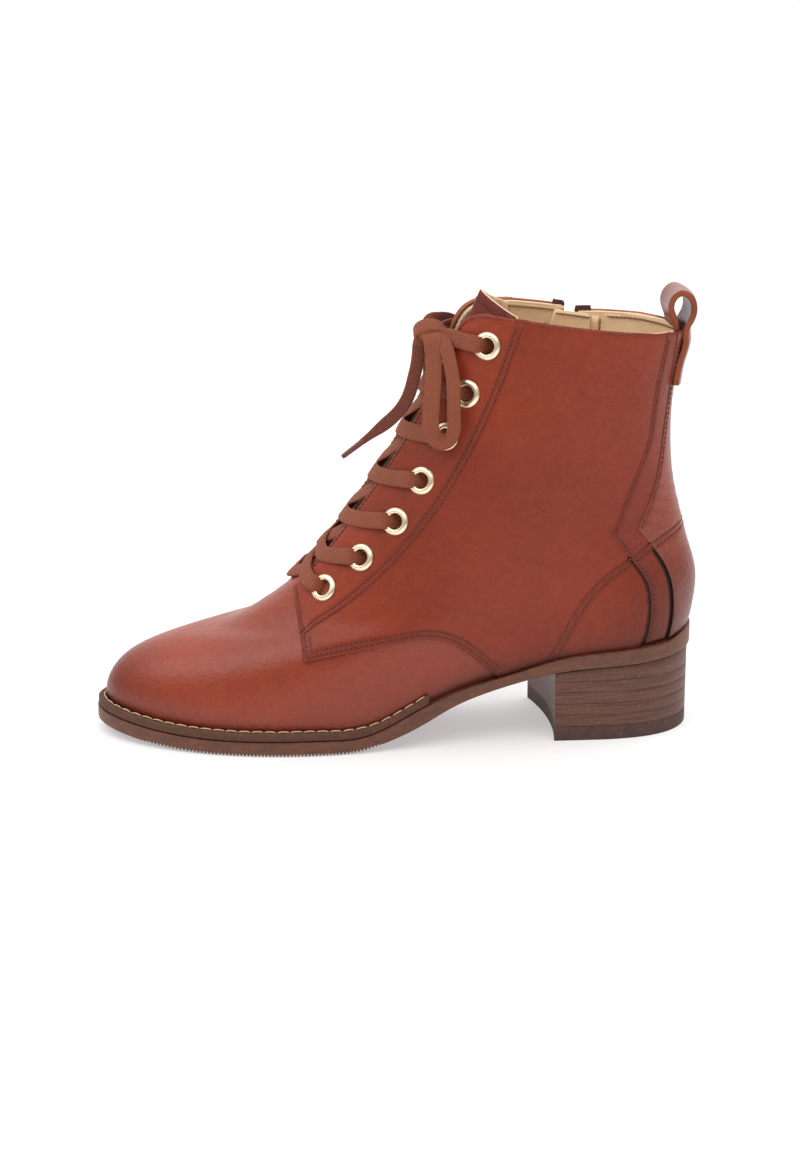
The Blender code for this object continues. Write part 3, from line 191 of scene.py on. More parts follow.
# The last, loop by loop from the feather line to the collar: ends in percent of LENGTH, rises in percent
# of COLLAR_HEIGHT, half widths in percent of BALL_WIDTH, and how far a loop follows the sole's curve
LEVELS = table(
    "front front_rise back back_rise heel_end heel waist_outer waist_inner ball toe_end sag", [
    (-85.8, 0.0, 10.3, 0.0, 60.7, 41.6, 34.3, 28.1, 49.4, 47.2, 1.00),
    (-86.3, 4.8, 11.1, 4.6, 59.6, 43.3, 36.0, 30.9, 50.6, 48.3, 0.85),
    (-84.6, 10.5, 11.6, 9.4, 57.3, 42.7, 37.1, 33.7, 49.4, 46.1, 0.60),
    (-80.6, 15.4, 11.7, 13.7, 53.9, 41.6, 37.4, 35.4, 46.6, 39.3, 0.40),
    (-73.7, 19.0, 11.2, 17.7, 49.4, 39.9, 37.3, 36.0, 42.7, 31.5, 0.25),
    (-66.5, 20.9, 10.4, 21.5, 44.9, 38.2, 37.1, 36.0, 40.4, 32.6, 0.10),
    (-60.1, 25.7, 9.5, 26.0, 41.6, 36.5, 36.5, 36.0, 39.3, 36.5, 0.00),
    (-54.5, 32.4, 8.6, 31.3, 39.3, 34.8, 36.0, 35.4, 38.2, 40.4, 0.00),
    (-46.8, 46.8, 7.2, 41.3, 36.0, 33.1, 34.8, 34.8, 36.0, 38.8, 0.00),
    (-37.9, 67.2, 6.7, 53.7, 32.6, 32.0, 32.9, 32.9, 33.5, 34.6, 0.00),
    (-32.0, 85.5, 7.4, 64.9, 30.3, 30.6, 31.2, 31.2, 31.2, 31.2, 0.00),
    (-27.5, 102.0, 8.7, 75.2, 29.0, 29.0, 29.6, 29.6, 29.6, 29.6, 0.00),
])  # fmt: skip
LEVEL_KNOTS = np.linspace(0.0, 1.0, len(LEVELS["front"]))
STATIONS = np.array([0.0, 0.16, 0.42, 0.72, 1.0])
LEDGE = np.array([4.6, 3.6, 3.0, 5.6, 6.0])
SWING = 0.0065
SWING_START = -0.060
SWING_RUN = 0.110
INSOLE_THICKNESS = 0.0025
INSOLE_CLEAR = 0.0008
INSOLE_SECTIONS = 120
INSOLE_END = 0.10
INSOLE_SIDE = 0.8
INSOLE_ROUND = 0.1


def spline_weights(knots, places):
    """Weights that turn values at the knots into those of a natural cubic spline at the places."""
    count = len(knots)
    step = np.diff(knots)
    bend = np.eye(count)
    load = np.zeros((count, count))
    for i in range(1, count - 1):
        bend[i, i - 1 : i + 2] = step[i - 1], 2 * (step[i - 1] + step[i]), step[i]
        load[i, i - 1 : i + 2] = 6 / step[i - 1], -6 / step[i - 1] - 6 / step[i], 6 / step[i]
    curvature = np.linalg.solve(bend, load)
    places = np.atleast_1d(np.asarray(places, float))
    i = np.clip(np.searchsorted(knots, places) - 1, 0, count - 2)
    width = step[i][:, None]
    past = (places - knots[i])[:, None]
    left = width - past
    straight = (left * np.eye(count)[i] + past * np.eye(count)[i + 1]) / width
    before = (left**3 / width - left * width) / 6 * curvature[i]
    after = (past**3 / width - past * width) / 6 * curvature[i + 1]
    return straight + before + after


def spline(knots, values, places):
    """Natural cubic spline through values at the knots, read at the places."""
    return spline_weights(np.asarray(knots, float), places) @ np.asarray(values, float)


def smooth_step(share):
    """0 to 1 with level ends."""
    share = np.clip(share, 0.0, 1.0)
    return share * share * (3 - 2 * share)


def unit(vectors):
    """Rows made one long."""
    return vectors / np.maximum(np.linalg.norm(vectors, axis=-1, keepdims=True), 1e-12)


def run_of(points):
    """Length along a line up to each of its points."""
    return np.concatenate([[0.0], np.cumsum(np.linalg.norm(np.diff(points, axis=0), axis=1))])


def read_line(line, run, places):
    """Points of a line at given lengths along it."""
    return np.column_stack([np.interp(places, run, column) for column in line.T])


def sole_under(x):
    """Height of the sole's underside."""
    height = spline(SOLE["along"] * PERCENT * LENGTH, SOLE["under"] * PERCENT * HEEL_HEIGHT, x)
    return np.maximum(height, 0.0)


def sole_top(x):
    """Height of the sole's upper face."""
    edge = spline(SOLE["along"] * PERCENT * LENGTH, SOLE["edge"] * PERCENT * HEEL_HEIGHT, x)
    return sole_under(x) + edge


def feather(x):
    """Height of the upper's lower edge."""
    return sole_top(x) + FEATHER_GAP


def swing(x):
    """Where the boot's centre line is, towards the inner side."""
    return SWING * smooth_step((SWING_START - x) / SWING_RUN)


FEATHER_FRONT = feather(LEVELS["front"][0] * PERCENT * LENGTH)[0]
FEATHER_BACK = feather(LEVELS["back"][0] * PERCENT * LENGTH)[0]


def wrapped(around):
    """Places round the last, brought between -1 and 1."""
    return (np.asarray(around, float) + 1) % 2 - 1


def last_surface(around, level):
    """Points of the last: around is 0 at the front, negative outside, positive inside, +-1 at the back."""
    around, level = np.broadcast_arrays(np.asarray(around, float), np.asarray(level, float))
    around = np.atleast_1d(wrapped(around))
    weights = spline_weights(LEVEL_KNOTS, level)
    row = {name: weights @ column for name, column in LEVELS.items()}
    turn = math.pi * (1 - np.abs(around))
    share = (1 - np.cos(turn)) / 2
    x = (row["back"] + (row["front"] - row["back"]) * share) * PERCENT * LENGTH
    waist = np.where(around < 0, row["waist_outer"], row["waist_inner"])
    widths = np.stack([row["heel_end"], row["heel"], waist, row["ball"], row["toe_end"]], axis=1)
    half = (spline_weights(STATIONS, share) * widths).sum(axis=1) * PERCENT * BALL_WIDTH
    y = swing(x) + np.sign(around) * half * np.sin(turn)
    straight = FEATHER_BACK + (FEATHER_FRONT - FEATHER_BACK) * share
    rise = row["back_rise"] + (row["front_rise"] - row["back_rise"]) * share
    z = straight + rise * PERCENT * COLLAR_HEIGHT + row["sag"] * (feather(x) - straight)
    return np.stack([x, y, z], axis=1)


def last_slopes(around, level):
    """How the last's points move with around and with level."""
    step = 1e-4
    around = np.asarray(around, float)
    level = np.asarray(level, float)
    across = (last_surface(around + step, level) - last_surface(around - step, level)) / (2 * step)
    up = (last_surface(around, level + step) - last_surface(around, level - step)) / (2 * step)
    return across, up


def last_normal(around, level):
    """Directions straight out of the last."""
    across, up = last_slopes(around, level)
    return unit(np.cross(up, across))


def lifted(around, level, lift):
    """Points at a height above the last."""
    return last_surface(around, level) + last_normal(around, level) * np.reshape(lift, (-1, 1))


def add_piece(name, mesh, replaced=(), body="boot"):
    """A piece of the boot: rides on a body and stands for some nodes."""
    mesh.shade_smooth()
    piece = bpy.data.objects.new(f"{name}_look", mesh)
    studio.collection.objects.link(piece)
    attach(piece, body)
    if replaced:
        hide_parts(*replaced)
    return piece


def add_values(mesh, name, values):
    """A named value on each point of a mesh, for its material."""
    layer = mesh.attributes.new(name, "FLOAT", "POINT")
    layer.data.foreach_set("value", np.asarray(values, np.float32))


def loft_faces(rings, points):
    """Faces between rings of equally many points."""
    i, j = np.meshgrid(np.arange(rings - 1) * points, np.arange(points), indexing="ij")
    after = (j + 1) % points
    sides = np.stack([i + j, i + after, i + points + after, i + points + j], axis=-1)
    return sides.reshape(-1, 4).tolist()


def close_up(mesh, sides):
    """Fills the open ends of a mesh, with at most so many sides, and turns its faces outwards."""
    bm = bmesh.new()
    bm.from_mesh(mesh)
    bmesh.ops.holes_fill(bm, edges=[e for e in bm.edges if e.is_boundary], sides=sides)
    bmesh.ops.recalc_face_normals(bm, faces=bm.faces)
    bm.to_mesh(mesh)
    bm.free()


def loft(name, rings, *finishes, sharp=40):
    """A closed body through rings of equally many points, capped at both ends."""
    rings = np.asarray(rings, float)
    count, points = rings.shape[:2]
    faces = loft_faces(count, points)
    faces.append(list(range(points))[::-1])
    faces.append(list(range((count - 1) * points, count * points)))
    mesh = bpy.data.meshes.new(name)
    mesh.from_pydata(rings.reshape(-1, 3).tolist(), [], faces)
    for finish in finishes:
        mesh.materials.append(finish)
    close_up(mesh, points)
    mesh.shade_smooth()
    mesh.set_sharp_from_angle(angle=math.radians(sharp))
    return mesh


def mix_colour(tree, share, first, second):
    """One colour mixed into another."""
    inputs = {0: share, 6: first, 7: second}
    return add_node(tree, "ShaderNodeMix", inputs, data_type="RGBA").outputs[2]


def object_place(tree):
    """A point's place on its piece."""
    return add_node(tree, "ShaderNodeTexCoord").outputs["Object"]


def noise(tree, place, scale, detail):
    """Cloudy values from 0 to 1."""
    inputs = {"Vector": place, "Scale": scale, "Detail": detail}
    return add_node(tree, "ShaderNodeTexNoise", inputs).outputs["Fac"]


def relief(tree, strength, distance, height):
    """Directions of a surface with fine heights on it."""
    inputs = {"Strength": strength, "Distance": distance, "Height": height}
    return add_node(tree, "ShaderNodeBump", inputs).outputs["Normal"]


def darker(colour, share):
    """A colour at a share of its brightness."""
    return [c * share for c in colour[:3]] + [1.0]


def new_group(name, inputs, outputs):
    """An empty shader node group with named number sockets; inputs gives each its usual value."""
    group = bpy.data.node_groups.new(name, "ShaderNodeTree")
    for label, value in inputs.items():
        socket = group.interface.new_socket(label, in_out="INPUT", socket_type="NodeSocketFloat")
        socket.default_value = value
    for label in outputs:
        group.interface.new_socket(label, in_out="OUTPUT", socket_type="NodeSocketFloat")
    return group, group.nodes.new("NodeGroupInput").outputs, group.nodes.new("NodeGroupOutput")


# Leather skin, for every leather piece: pores and fine wrinkles as a height, and a cloudy tone
skin, skin_in, skin_out = new_group(
    "leather_skin", {"Pores": 900.0, "Cloud": 28.0}, ["Height", "Tone", "Gloss"]
)
skin_place = object_place(skin)
cells = add_node(
    skin,
    "ShaderNodeTexVoronoi",
    {"Vector": skin_place, "Scale": skin_in["Pores"], "Randomness": 1.0},
    feature="SMOOTH_F1",
)
fine = noise(skin, skin_place, 2400.0, 3.0)
creep = noise(skin, skin_place, 260.0, 4.0)
cloud = noise(skin, skin_place, skin_in["Cloud"], 4.0)
speckle = noise(skin, skin_place, 950.0, 2.0)
pore_height = arithmetic(skin, "MULTIPLY", cells.outputs["Distance"], 0.9)
fine_height = arithmetic(skin, "MULTIPLY_ADD", fine, 0.35, pore_height)
cloud_tone = arithmetic(skin, "MULTIPLY_ADD", creep, 0.8, cloud)
speckled_tone = arithmetic(skin, "MULTIPLY_ADD", speckle, 0.55, cloud_tone)
feed(skin, skin_out, {
    "Height": arithmetic(skin, "MULTIPLY_ADD", creep, 0.8, fine_height),
    "Tone": arithmetic(skin, "SUBTRACT", speckled_tone, 1.175),
    "Gloss": arithmetic(skin, "SUBTRACT", fine, 0.5),
})  # fmt: skip

# Dark colour for burnished leather and for painted shade on it
BURNISH_AND_SHADE = srgb(66, 27, 20)


def leather(name, colour, roughness, pores=700.0, bump=0.30, tone=0.60, gloss=0.32, burnish_and_shade=BURNISH_AND_SHADE):
    """Leather with pores, cloudy colour, and a darker colour where the piece's value for burnishing and
    painted shade is high.
    """
    material, tree, shader = new_material(name)
    surface = add_node(tree, "ShaderNodeGroup", {"Pores": pores}, node_tree=skin).outputs
    share = arithmetic(tree, "MULTIPLY_ADD", surface["Tone"], -tone * 2.0, 0.30)
    clouded = mix_colour(tree, share, colour, darker(colour, 0.62))
    darkening = add_node(tree, "ShaderNodeAttribute", attribute_name="burnish_and_shade").outputs["Fac"]
    feed(tree, shader, {
        "Base Color": mix_colour(tree, darkening, clouded, burnish_and_shade),
        "Roughness": arithmetic(tree, "MULTIPLY_ADD", surface["Gloss"], 0.18, roughness),
        "Normal": relief(tree, bump, 0.0006, surface["Height"]),
        "Specular IOR Level": gloss,
    })  # fmt: skip
    return material


LINING_SHADE = srgb(150, 108, 78)
cream_lining = leather("cream_lining", srgb(255, 224, 182), 0.62, bump=0.06, tone=0.2, burnish_and_shade=LINING_SHADE)

turn = np.linspace(INSOLE_END, math.pi - INSOLE_END, INSOLE_SECTIONS)
depth = np.full(INSOLE_SECTIONS, -(WALL + INSOLE_CLEAR))
insole_edge = {side: lifted(side * (1 - turn / math.pi), 0 * turn, depth) for side in (-1, 1)}


def raised(points, height):
    """Points set at a height above the sole."""
    return np.column_stack([points[:, :2], sole_top(points[:, 0]) + GAP + height])


middle = (insole_edge[-1] + insole_edge[1]) / 2
insole_columns = []
for side in (-1, 1):
    edge = insole_edge[side]
    inner = edge * (1 - INSOLE_ROUND) + middle * INSOLE_ROUND
    rising = [
        raised(edge, 0.0),
        raised(edge, INSOLE_THICKNESS * INSOLE_SIDE),
        raised(inner, INSOLE_THICKNESS),
    ]
    insole_columns += rising if side < 0 else rising[::-1]
insole_rings = np.stack(insole_columns, axis=1)
add_piece("insole_sock", loft("insole_sock", insole_rings, cream_lining), ["insole"])

# Vamp
# The front of the upper, one piece of smooth brown leather pulled over the toe of the last and tucked
# under the quarters. It is burnished darker at the tip, and darker along the sole with burnishing and painted
# contact shade.
BROWN = srgb(152, 56, 27)
THROAT_HALF = 0.0090
FACING_CORNER = 0.011
FACING_RISE = 0.0012
FRONT_SHARE = 0.5
VAMP_TUCK = 0.016
SNAP = 0.00012
LOWER_END = -0.025
UPPER_END = 1.030
VAMP_SPAN = (-1.0, 1.0, 301)
VAMP_LEVELS = (LOWER_END, 0.74, 102)
VAMP_THICKNESS = 0.0012


def flat_patch(arounds, levels):
    """A grid in (around, level), to be cut to shape while it is flat."""
    bm = bmesh.new()
    grid = [[bm.verts.new((a, b, 0.0)) for b in levels] for a in arounds]
    for column, following in zip(grid, grid[1:]):
        for j in range(len(levels) - 1):
            bm.faces.new((column[j], column[j + 1], following[j + 1], following[j]))
    return bm


def crowded(first, last, count, crowding=0.4):
    """Columns between two places round the last, closer together at its sides."""
    dense = np.linspace(-2.0, 2.0, 4001)
    places = dense + crowding * np.sin(2 * math.pi * dense) / (2 * math.pi)
    ends = np.interp([first, last], places, dense)
    return np.interp(np.linspace(*ends, count), dense, places)


def read_field(field, points):
    """Values of a field at flat points."""
    flat = np.array([(p[0], p[1]) for p in points])
    return field(*flat.T)


def cut(bm, field, where=None):
    """Draws the line where the field is 0 into a flat patch, through the faces that where picks."""
    faces = list(bm.faces)
    if where:
        inside = read_field(where, [f.calc_center_median() for f in faces]) > 0
        faces = [f for f, yes in zip(faces, inside) if yes]
    corners = list(dict.fromkeys(v for f in faces for v in f.verts))
    value = dict(zip(corners, read_field(field, [v.co for v in corners])))
    near = [v for v in corners if abs(value[v]) < SNAP and not v.is_boundary]
    if near:
        step = 1e-4
        flat = np.array([v.co[:2] for v in near])
        east = field(flat[:, 0] + step, flat[:, 1]) - field(flat[:, 0] - step, flat[:, 1])
        north = field(flat[:, 0], flat[:, 1] + step) - field(flat[:, 0], flat[:, 1] - step)
        slope = np.stack([east, north], axis=1) / (2 * step)
        held = np.array([value[v] for v in near])
        moved = flat - slope * (held / np.maximum((slope**2).sum(axis=1), 1e-9))[:, None]
        for v, place in zip(near, moved):
            v.co.x, v.co.y = place
            value[v] = 0.0
    crossed = [f for f in faces if min(value[v] for v in f.verts) < 0 < max(value[v] for v in f.verts)]
    for edge in list(dict.fromkeys(e for f in crossed for e in f.edges)):
        start, end = edge.verts
        if value[start] * value[end] < 0:
            share = value[start] / (value[start] - value[end])
            value[bmesh.utils.edge_split(edge, start, share)[1]] = 0.0
    for face in crossed:
        ring = list(face.verts)
        sides = [np.sign(value[v]) for v in ring]
        starts = [v for v, s, after in zip(ring, sides, sides[1:] + sides[:1]) if s == 0 < after]
        ends = [v for v, s, before in zip(ring, sides, sides[-1:] + sides[:-1]) if s == 0 < before]
        if starts and ends and starts[0] is not ends[0]:
            bmesh.utils.face_split(face, starts[0], ends[0])


def drop(bm, field):
    """Deletes the faces of a flat patch whose middle is where the field is negative."""
    faces = list(bm.faces)
    value = read_field(field, [f.calc_center_median() for f in faces])
    lost = [f for f, v in zip(faces, value) if v < 0]
    bmesh.ops.delete(bm, geom=lost, context="FACES")


def trim(bm, *fields):
    """Cuts a flat patch along each field and keeps the side where all are positive."""
    for field in fields:
        cut(bm, field)
        drop(bm, field)


def side_view(around, level):
    """x and z of points of the last."""
    point = last_surface(around, level)
    return point[:, 0], point[:, 2]


def shifted(field, by):
    """The field with its line moved by a distance."""
    return lambda around, level: field(around, level) + by


def turned_round(field):
    """The field with its sides swapped."""
    return lambda around, level: -field(around, level)


FRONT_LEVELS = np.linspace(0.0, 1.0, 300)
FRONT_LINE = last_surface(np.zeros(300), FRONT_LEVELS)
FRONT_RUN = run_of(FRONT_LINE)
THROAT_LEVEL = np.interp(INSTEP_HEIGHT, FRONT_LINE[:, 2], FRONT_LEVELS)


def aside(around, level):
    """Distance from the front centre line, large on the back half."""
    away = np.abs(last_surface(around, level)[:, 1] - np.interp(level, FRONT_LEVELS, FRONT_LINE[:, 1]))
    return np.where(np.abs(wrapped(around)) < FRONT_SHARE, away, BALL_WIDTH)


def rounded(inset, below, corner):
    """Distance inside two edges that meet at a round corner."""
    return corner - np.hypot(np.maximum(corner - inset, 0), np.maximum(corner - below, 0))


def facing_field(around, level):
    """Positive behind the facings' edges, with their upper corners rounded."""
    inset = aside(around, level) - THROAT_HALF
    below = FRONT_RUN[-1] + FACING_RISE - np.interp(level, FRONT_LEVELS, FRONT_RUN)
    below = below - np.maximum(np.asarray(level) - 1, 0) * FRONT_RUN[-1]
    return np.where(inset < FACING_CORNER, rounded(inset, below, FACING_CORNER), FACING_CORNER)


def throat_field(around, level):
    """Positive outside the throat, a slot with a round lower end."""
    rise = np.interp(level, FRONT_LEVELS, FRONT_RUN) - np.interp(THROAT_LEVEL, FRONT_LEVELS, FRONT_RUN)
    short = np.clip(1 - rise / THROAT_HALF, 0, 1)
    narrowing = THROAT_HALF * (1 - np.sqrt(1 - short**2))
    return facing_field(around, level) + narrowing + np.maximum(-rise, 0)


DERBY_TOP = (-0.1410, 0.0665)
DERBY_CORNER = (-0.1384, 0.0395)
DERBY_END = -0.052
DERBY_EDGE = table("x z", [
    (-138.4, 39.5),
    (-127.5, 42.1),
    (-113.7, 45.1),
    (-99.9, 47.9),
    (-88.1, 49.4),
    (-80.0, 48.0),
    (-71.4, 43.3),
    (-63.5, 36.2),
    (-58.2, 31.1),
    (-52.0, 25.0),
])  # fmt: skip


def derby_front(around, level):
    """Positive behind the front edge of the quarters."""
    x, z = side_view(around, level)
    lean = (DERBY_CORNER[0] - DERBY_TOP[0]) / (DERBY_TOP[1] - DERBY_CORNER[1])
    return x - DERBY_TOP[0] - (DERBY_TOP[1] - z) * lean


def derby_lower(around, level):
    """Positive above the lower edge of the quarters, and everywhere behind it."""
    x, z = side_view(around, level)
    edge = spline(DERBY_EDGE["x"] * MM, DERBY_EDGE["z"] * MM, np.clip(x, DERBY_CORNER[0], DERBY_END))
    return np.where(x > DERBY_END, COLLAR_HEIGHT, z - edge)


def vamp_tuck(around, level):
    """Positive where the vamp shows, and a little way under the quarters."""
    return VAMP_TUCK - np.minimum(derby_front(around, level), derby_lower(around, level))


TOE_RUB = 0.42
TOE_START = -0.190
TOE_RUN = 0.034
TOE_FADE = 0.6
TOE_FADE_START = 0.030
TOE_FADE_RUN = 0.02
# Darkening along the sole, amount and reach above it in millimetres: burnishing together with painted contact
# shade
SOLE_SHADE_AND_RUB = table("amount reach", [(0.62, 3.2), (0.20, 11.0)])
HEEL_RUB = 0.40
HEEL_START = -0.016
HEEL_RUN = 0.034
HEEL_TOP = 0.098
HEEL_FADE = 0.040
# Cloudy patches at the waist and beside the lacing: middles and reaches in millimetres
PATCHES = table("amount x z reach_x reach_z", [
    (0.16, -48.0, 108.0, 34.0, 26.0),
    (0.22, -98.0, 112.0, 30.0, 36.0),
])  # fmt: skip
BURNISH_AND_SHADE_LIMIT = 0.9


def burnish_and_shade_of(points):
    """How dark the leather is: burnished at the toe tip and at the heel, burnished and given painted contact
    shade along the sole, and darker in cloudy patches.
    """
    x, _, z = points.T
    above = np.maximum(z - feather(x), 0.0) / MM
    toe = TOE_RUB * smooth_step((TOE_START - x) / TOE_RUN)
    toe = toe * (1 - TOE_FADE * smooth_step((z - TOE_FADE_START) / TOE_FADE_RUN))
    line = sum(amount * np.exp(-above / reach) for amount, reach in zip(*SOLE_SHADE_AND_RUB.values()))
    heel = HEEL_RUB * smooth_step((x - HEEL_START) / HEEL_RUN) * smooth_step((HEEL_TOP - z) / HEEL_FADE)
    clean = (1 - toe) * (1 - line) * (1 - heel)
    for amount, patch_x, patch_z, reach_x, reach_z in zip(*PATCHES.values()):
        away = ((x / MM - patch_x) / reach_x) ** 2 + ((z / MM - patch_z) / reach_z) ** 2
        clean = clean * (1 - amount * np.exp(-away))
    return np.clip(1 - clean, 0.0, BURNISH_AND_SHADE_LIMIT)


WAVE_DEPTH = 0.00022
FLEX_DEPTH = 0.00006
FOLD_DEPTH = 0.00010
FLEX_PLACE = -0.150
FOLD_PLACE = 0.104
CREASE_REACH = 0.012


def soft_relief(points):
    """Small dents and waves of worn-in leather."""
    x, _, z = points.T
    wave = np.sin(x * 95 + 3.0 * np.sin(z * 40)) * np.sin(z * 70 + 1.3 + 20 * x)
    shaft = smooth_step((z - 0.075) / 0.03) * smooth_step((0.172 - z) / 0.02)
    flex = np.exp(-(((x - FLEX_PLACE) / CREASE_REACH) ** 2)) * np.sin((x + 0.2 * (z - 0.05)) * 900)
    back = np.exp(-(((z - FOLD_PLACE) / CREASE_REACH) ** 2)) * smooth_step((x + 0.004) / CREASE_REACH)
    folds = np.sin((z + 0.35 * x) * 1150)
    return WAVE_DEPTH * wave * shaft + FLEX_DEPTH * flex + FOLD_DEPTH * back * folds


def nearness(points, lines, reach):
    """1 on any of the lines, falling to 0 away from them."""
    places = np.concatenate(lines)
    tree = kdtree.KDTree(len(places))
    for i, place in enumerate(places):
        tree.insert(place, i)
    tree.balance()
    distance = np.array([tree.find(p)[2] for p in points])
    return np.exp(-((distance / reach) ** 2))


EDGE_REACH = 0.0006
EDGE_PRESS = 0.00030
SEAM_REACH = 0.0009
SEAM_PRESS = 0.00024
# How much darker a piece is along its pressed edges, and the painted shade in its pressed stitch lines
EDGE_DARKENING = 0.12
SEAM_SHADE = 0.30
DARKENING_LIMIT = 0.95


def add_panel(
    name, patch, lift, thickness, finishes, replaced, seams=(), pressed=True, face=None
):
    """A cut piece of leather laid on the last or on a face: pressed along its edges and its stitches, darker
    along its edges, with painted shade in the pressed stitch lines.
    """
    bmesh.ops.remove_doubles(patch, verts=patch.verts, dist=1e-6)
    patch.verts.ensure_lookup_table()
    flat = np.array([v.co[:2] for v in patch.verts])
    edge = np.array([v.is_boundary for v in patch.verts])
    height = lift(*flat.T) if callable(lift) else np.full(len(flat), lift)
    base = last_surface(*flat.T)
    out = last_normal(*flat.T)
    height = height + soft_relief(base)
    worn_and_shaded = burnish_and_shade_of(base)
    if pressed:
        rim = nearness(base, [base[edge]], EDGE_REACH)
        height = height - EDGE_PRESS * rim
        worn_and_shaded = np.clip(worn_and_shaded + EDGE_DARKENING * rim, 0, DARKENING_LIMIT)
    if seams:
        near = nearness(base, seams, SEAM_REACH)
        height = height - SEAM_PRESS * near
        worn_and_shaded = np.clip(worn_and_shaded + SEAM_SHADE * near, 0, DARKENING_LIMIT)
    laid = face(*flat.T) if face else base + out * height[:, None]
    for v, place in zip(patch.verts, laid):
        v.co = place
    bmesh.ops.remove_doubles(patch, verts=patch.verts, dist=1e-5)
    mesh = bpy.data.meshes.new(name)
    kept = np.array([v.index for v in patch.verts])
    patch.to_mesh(mesh)
    patch.free()
    for finish in finishes:
        mesh.materials.append(finish)
    add_values(mesh, "burnish_and_shade", worn_and_shaded[kept])
    piece = add_piece(name, mesh, replaced)
    wall = piece.modifiers.new("thickness", "SOLIDIFY")
    wall.thickness = thickness
    wall.offset = -1.0
    wall.material_offset = len(finishes) - 1 if len(finishes) > 1 else 0
    wall.material_offset_rim = 1 if len(finishes) > 2 else 0
    return piece


vamp_leather = leather("vamp_leather", BROWN, 0.36, gloss=0.50)
flesh_side = leather("flesh_side", srgb(150, 96, 70), 0.8)
vamp = flat_patch(crowded(*VAMP_SPAN), np.linspace(*VAMP_LEVELS))
trim(vamp, vamp_tuck, throat_field)
vamp_faces = [vamp_leather, flesh_side]
add_panel("vamp", vamp, 0.0, VAMP_THICKNESS, vamp_faces, ["upper"], pressed=False)

# Quarters
# The sides behind the vamp, cut from the same leather and sewn over it with two rows of thread. Their cut
# edges are left raw and show lighter.
QUARTER_LIFT = 0.0013
QUARTER_THICKNESS = 0.0013
QUARTER_SPAN = (0.06, 0.97, 190)
QUARTER_LEVELS = (LOWER_END, UPPER_END, 150)
BAND_FRONT = table("z x", [
    (38.0, 5.4),
    (50.0, 8.3),
    (60.0, 8.7),
    (68.5, 6.9),
    (76.4, 1.7),
    (89.3, -8.6),
    (98.8, -4.9),
    (108.3, -1.1),
    (117.8, 2.8),
    (126.6, 6.0),
    (140.0, 8.0),
    (154.2, 10.1),
    (180.0, 15.0),
])  # fmt: skip
BAND_REAR = table("z x", [
    (38.0, 15.6),
    (49.7, 18.1),
    (59.9, 18.4),
    (69.1, 16.9),
    (78.0, 12.5),
    (91.2, 2.4),
    (101.4, 7.2),
    (110.7, 10.3),
    (120.9, 12.1),
    (134.2, 13.5),
    (146.8, 15.4),
    (180.0, 18.5),
])  # fmt: skip
FRONT_KINK = 0.0893
REAR_KINK = 0.0912
EYESTAY_EDGE = table("z x", [
    (40.0, -148.0),
    (48.0, -137.7),
    (58.0, -123.0),
    (73.6, -105.2),
    (101.0, -82.5),
    (141.0, -60.2),
    (184.0, -44.1),
])  # fmt: skip
EYESTAY_REACH = (0.040, 0.184)
COUNTER_SEAM = table("x z", [
    (-33.4, 36.2),
    (-24.2, 54.6),
    (-15.8, 66.5),
    (-7.3, 73.3),
    (0.3, 77.8),
    (8.0, 82.6),
    (15.5, 86.3),
    (21.5, 88.6),
])  # fmt: skip
FRONT_GAP = 0.0010
REAR_GAP = 0.00145
GAP_START = 0.007
GAP_RUN = 0.004
UNDERLAP = 0.0020
COLLAR_INSET = 0.0004
# How much the soft collar stands above the line of the last, from the front to the back
COLLAR_RISE = table("x outer inner", [
    (-56.0, 1.2, 1.2),
    (-47.0, 1.8, 2.0),
    (-33.0, 2.0, 2.0),
    (-24.5, 2.2, 2.0),
    (-18.0, 2.3, 0.2),
    (-8.0, 2.4, 2.0),
    (8.0, 2.5, 4.0),
    (16.0, 3.2, 4.2),
    (22.4, 4.1, 4.1),
])  # fmt: skip
EYELETS = table("level around", [
    (0.625, 0.188),
    (0.687, 0.220),
    (0.737, 0.246),
    (0.785, 0.248),
    (0.837, 0.249),
    (0.893, 0.254),
    (0.960, 0.258),
])  # fmt: skip
EYELET_COUNT = len(EYELETS["level"])
HOLE_RADIUS = 0.0042
SIDES = {"outer": -1, "inner": 1}
ZIP_TOP = (-0.0195, 0.1765)
ZIP_BOTTOM = (-0.0270, 0.0600)
SLIT_HALF = 0.0034


def band_edge(z, edge, kink):
    """x of an edge of the back band at a height, with its kink above the heel."""
    height = edge["z"] * MM
    low = height < kink + SNAP
    high = height > kink - SNAP
    lower = spline(height[low], edge["x"][low] * MM, np.clip(z, height[0], kink))
    upper = spline(height[high], edge["x"][high] * MM, np.clip(z, kink, height[-1]))
    return np.where(z < kink, lower, upper)


def tucked(z, kink, gap):
    """How far a piece runs on under the edge behind it: lower down it stops short by a gap."""
    return UNDERLAP - (UNDERLAP + gap) * smooth_step((kink - GAP_START - z) / GAP_RUN)


def behind(edge, kink):
    """A field that is positive behind an edge of the back band."""

    def field(around, level):
        x, z = side_view(around, level)
        return x - band_edge(z, edge, kink)

    return field


def short_of(edge, kink, gap):
    """A field that is positive on a piece in front of an edge, which it runs under above the gap."""

    def field(around, level):
        x, z = side_view(around, level)
        return band_edge(z, edge, kink) + tucked(z, kink, gap) - x

    return field


quarter_rear = short_of(BAND_FRONT, FRONT_KINK, FRONT_GAP)
band_rear = short_of(BAND_REAR, REAR_KINK, REAR_GAP)
behind_front = behind(BAND_FRONT, FRONT_KINK)
behind_rear = behind(BAND_REAR, REAR_KINK)


def eyestay_line(around, level):
    """Positive behind the rear edge of the eyestay."""
    x, z = side_view(around, level)
    return x - spline(EYESTAY_EDGE["z"] * MM, EYESTAY_EDGE["x"] * MM, np.clip(z, *EYESTAY_REACH))


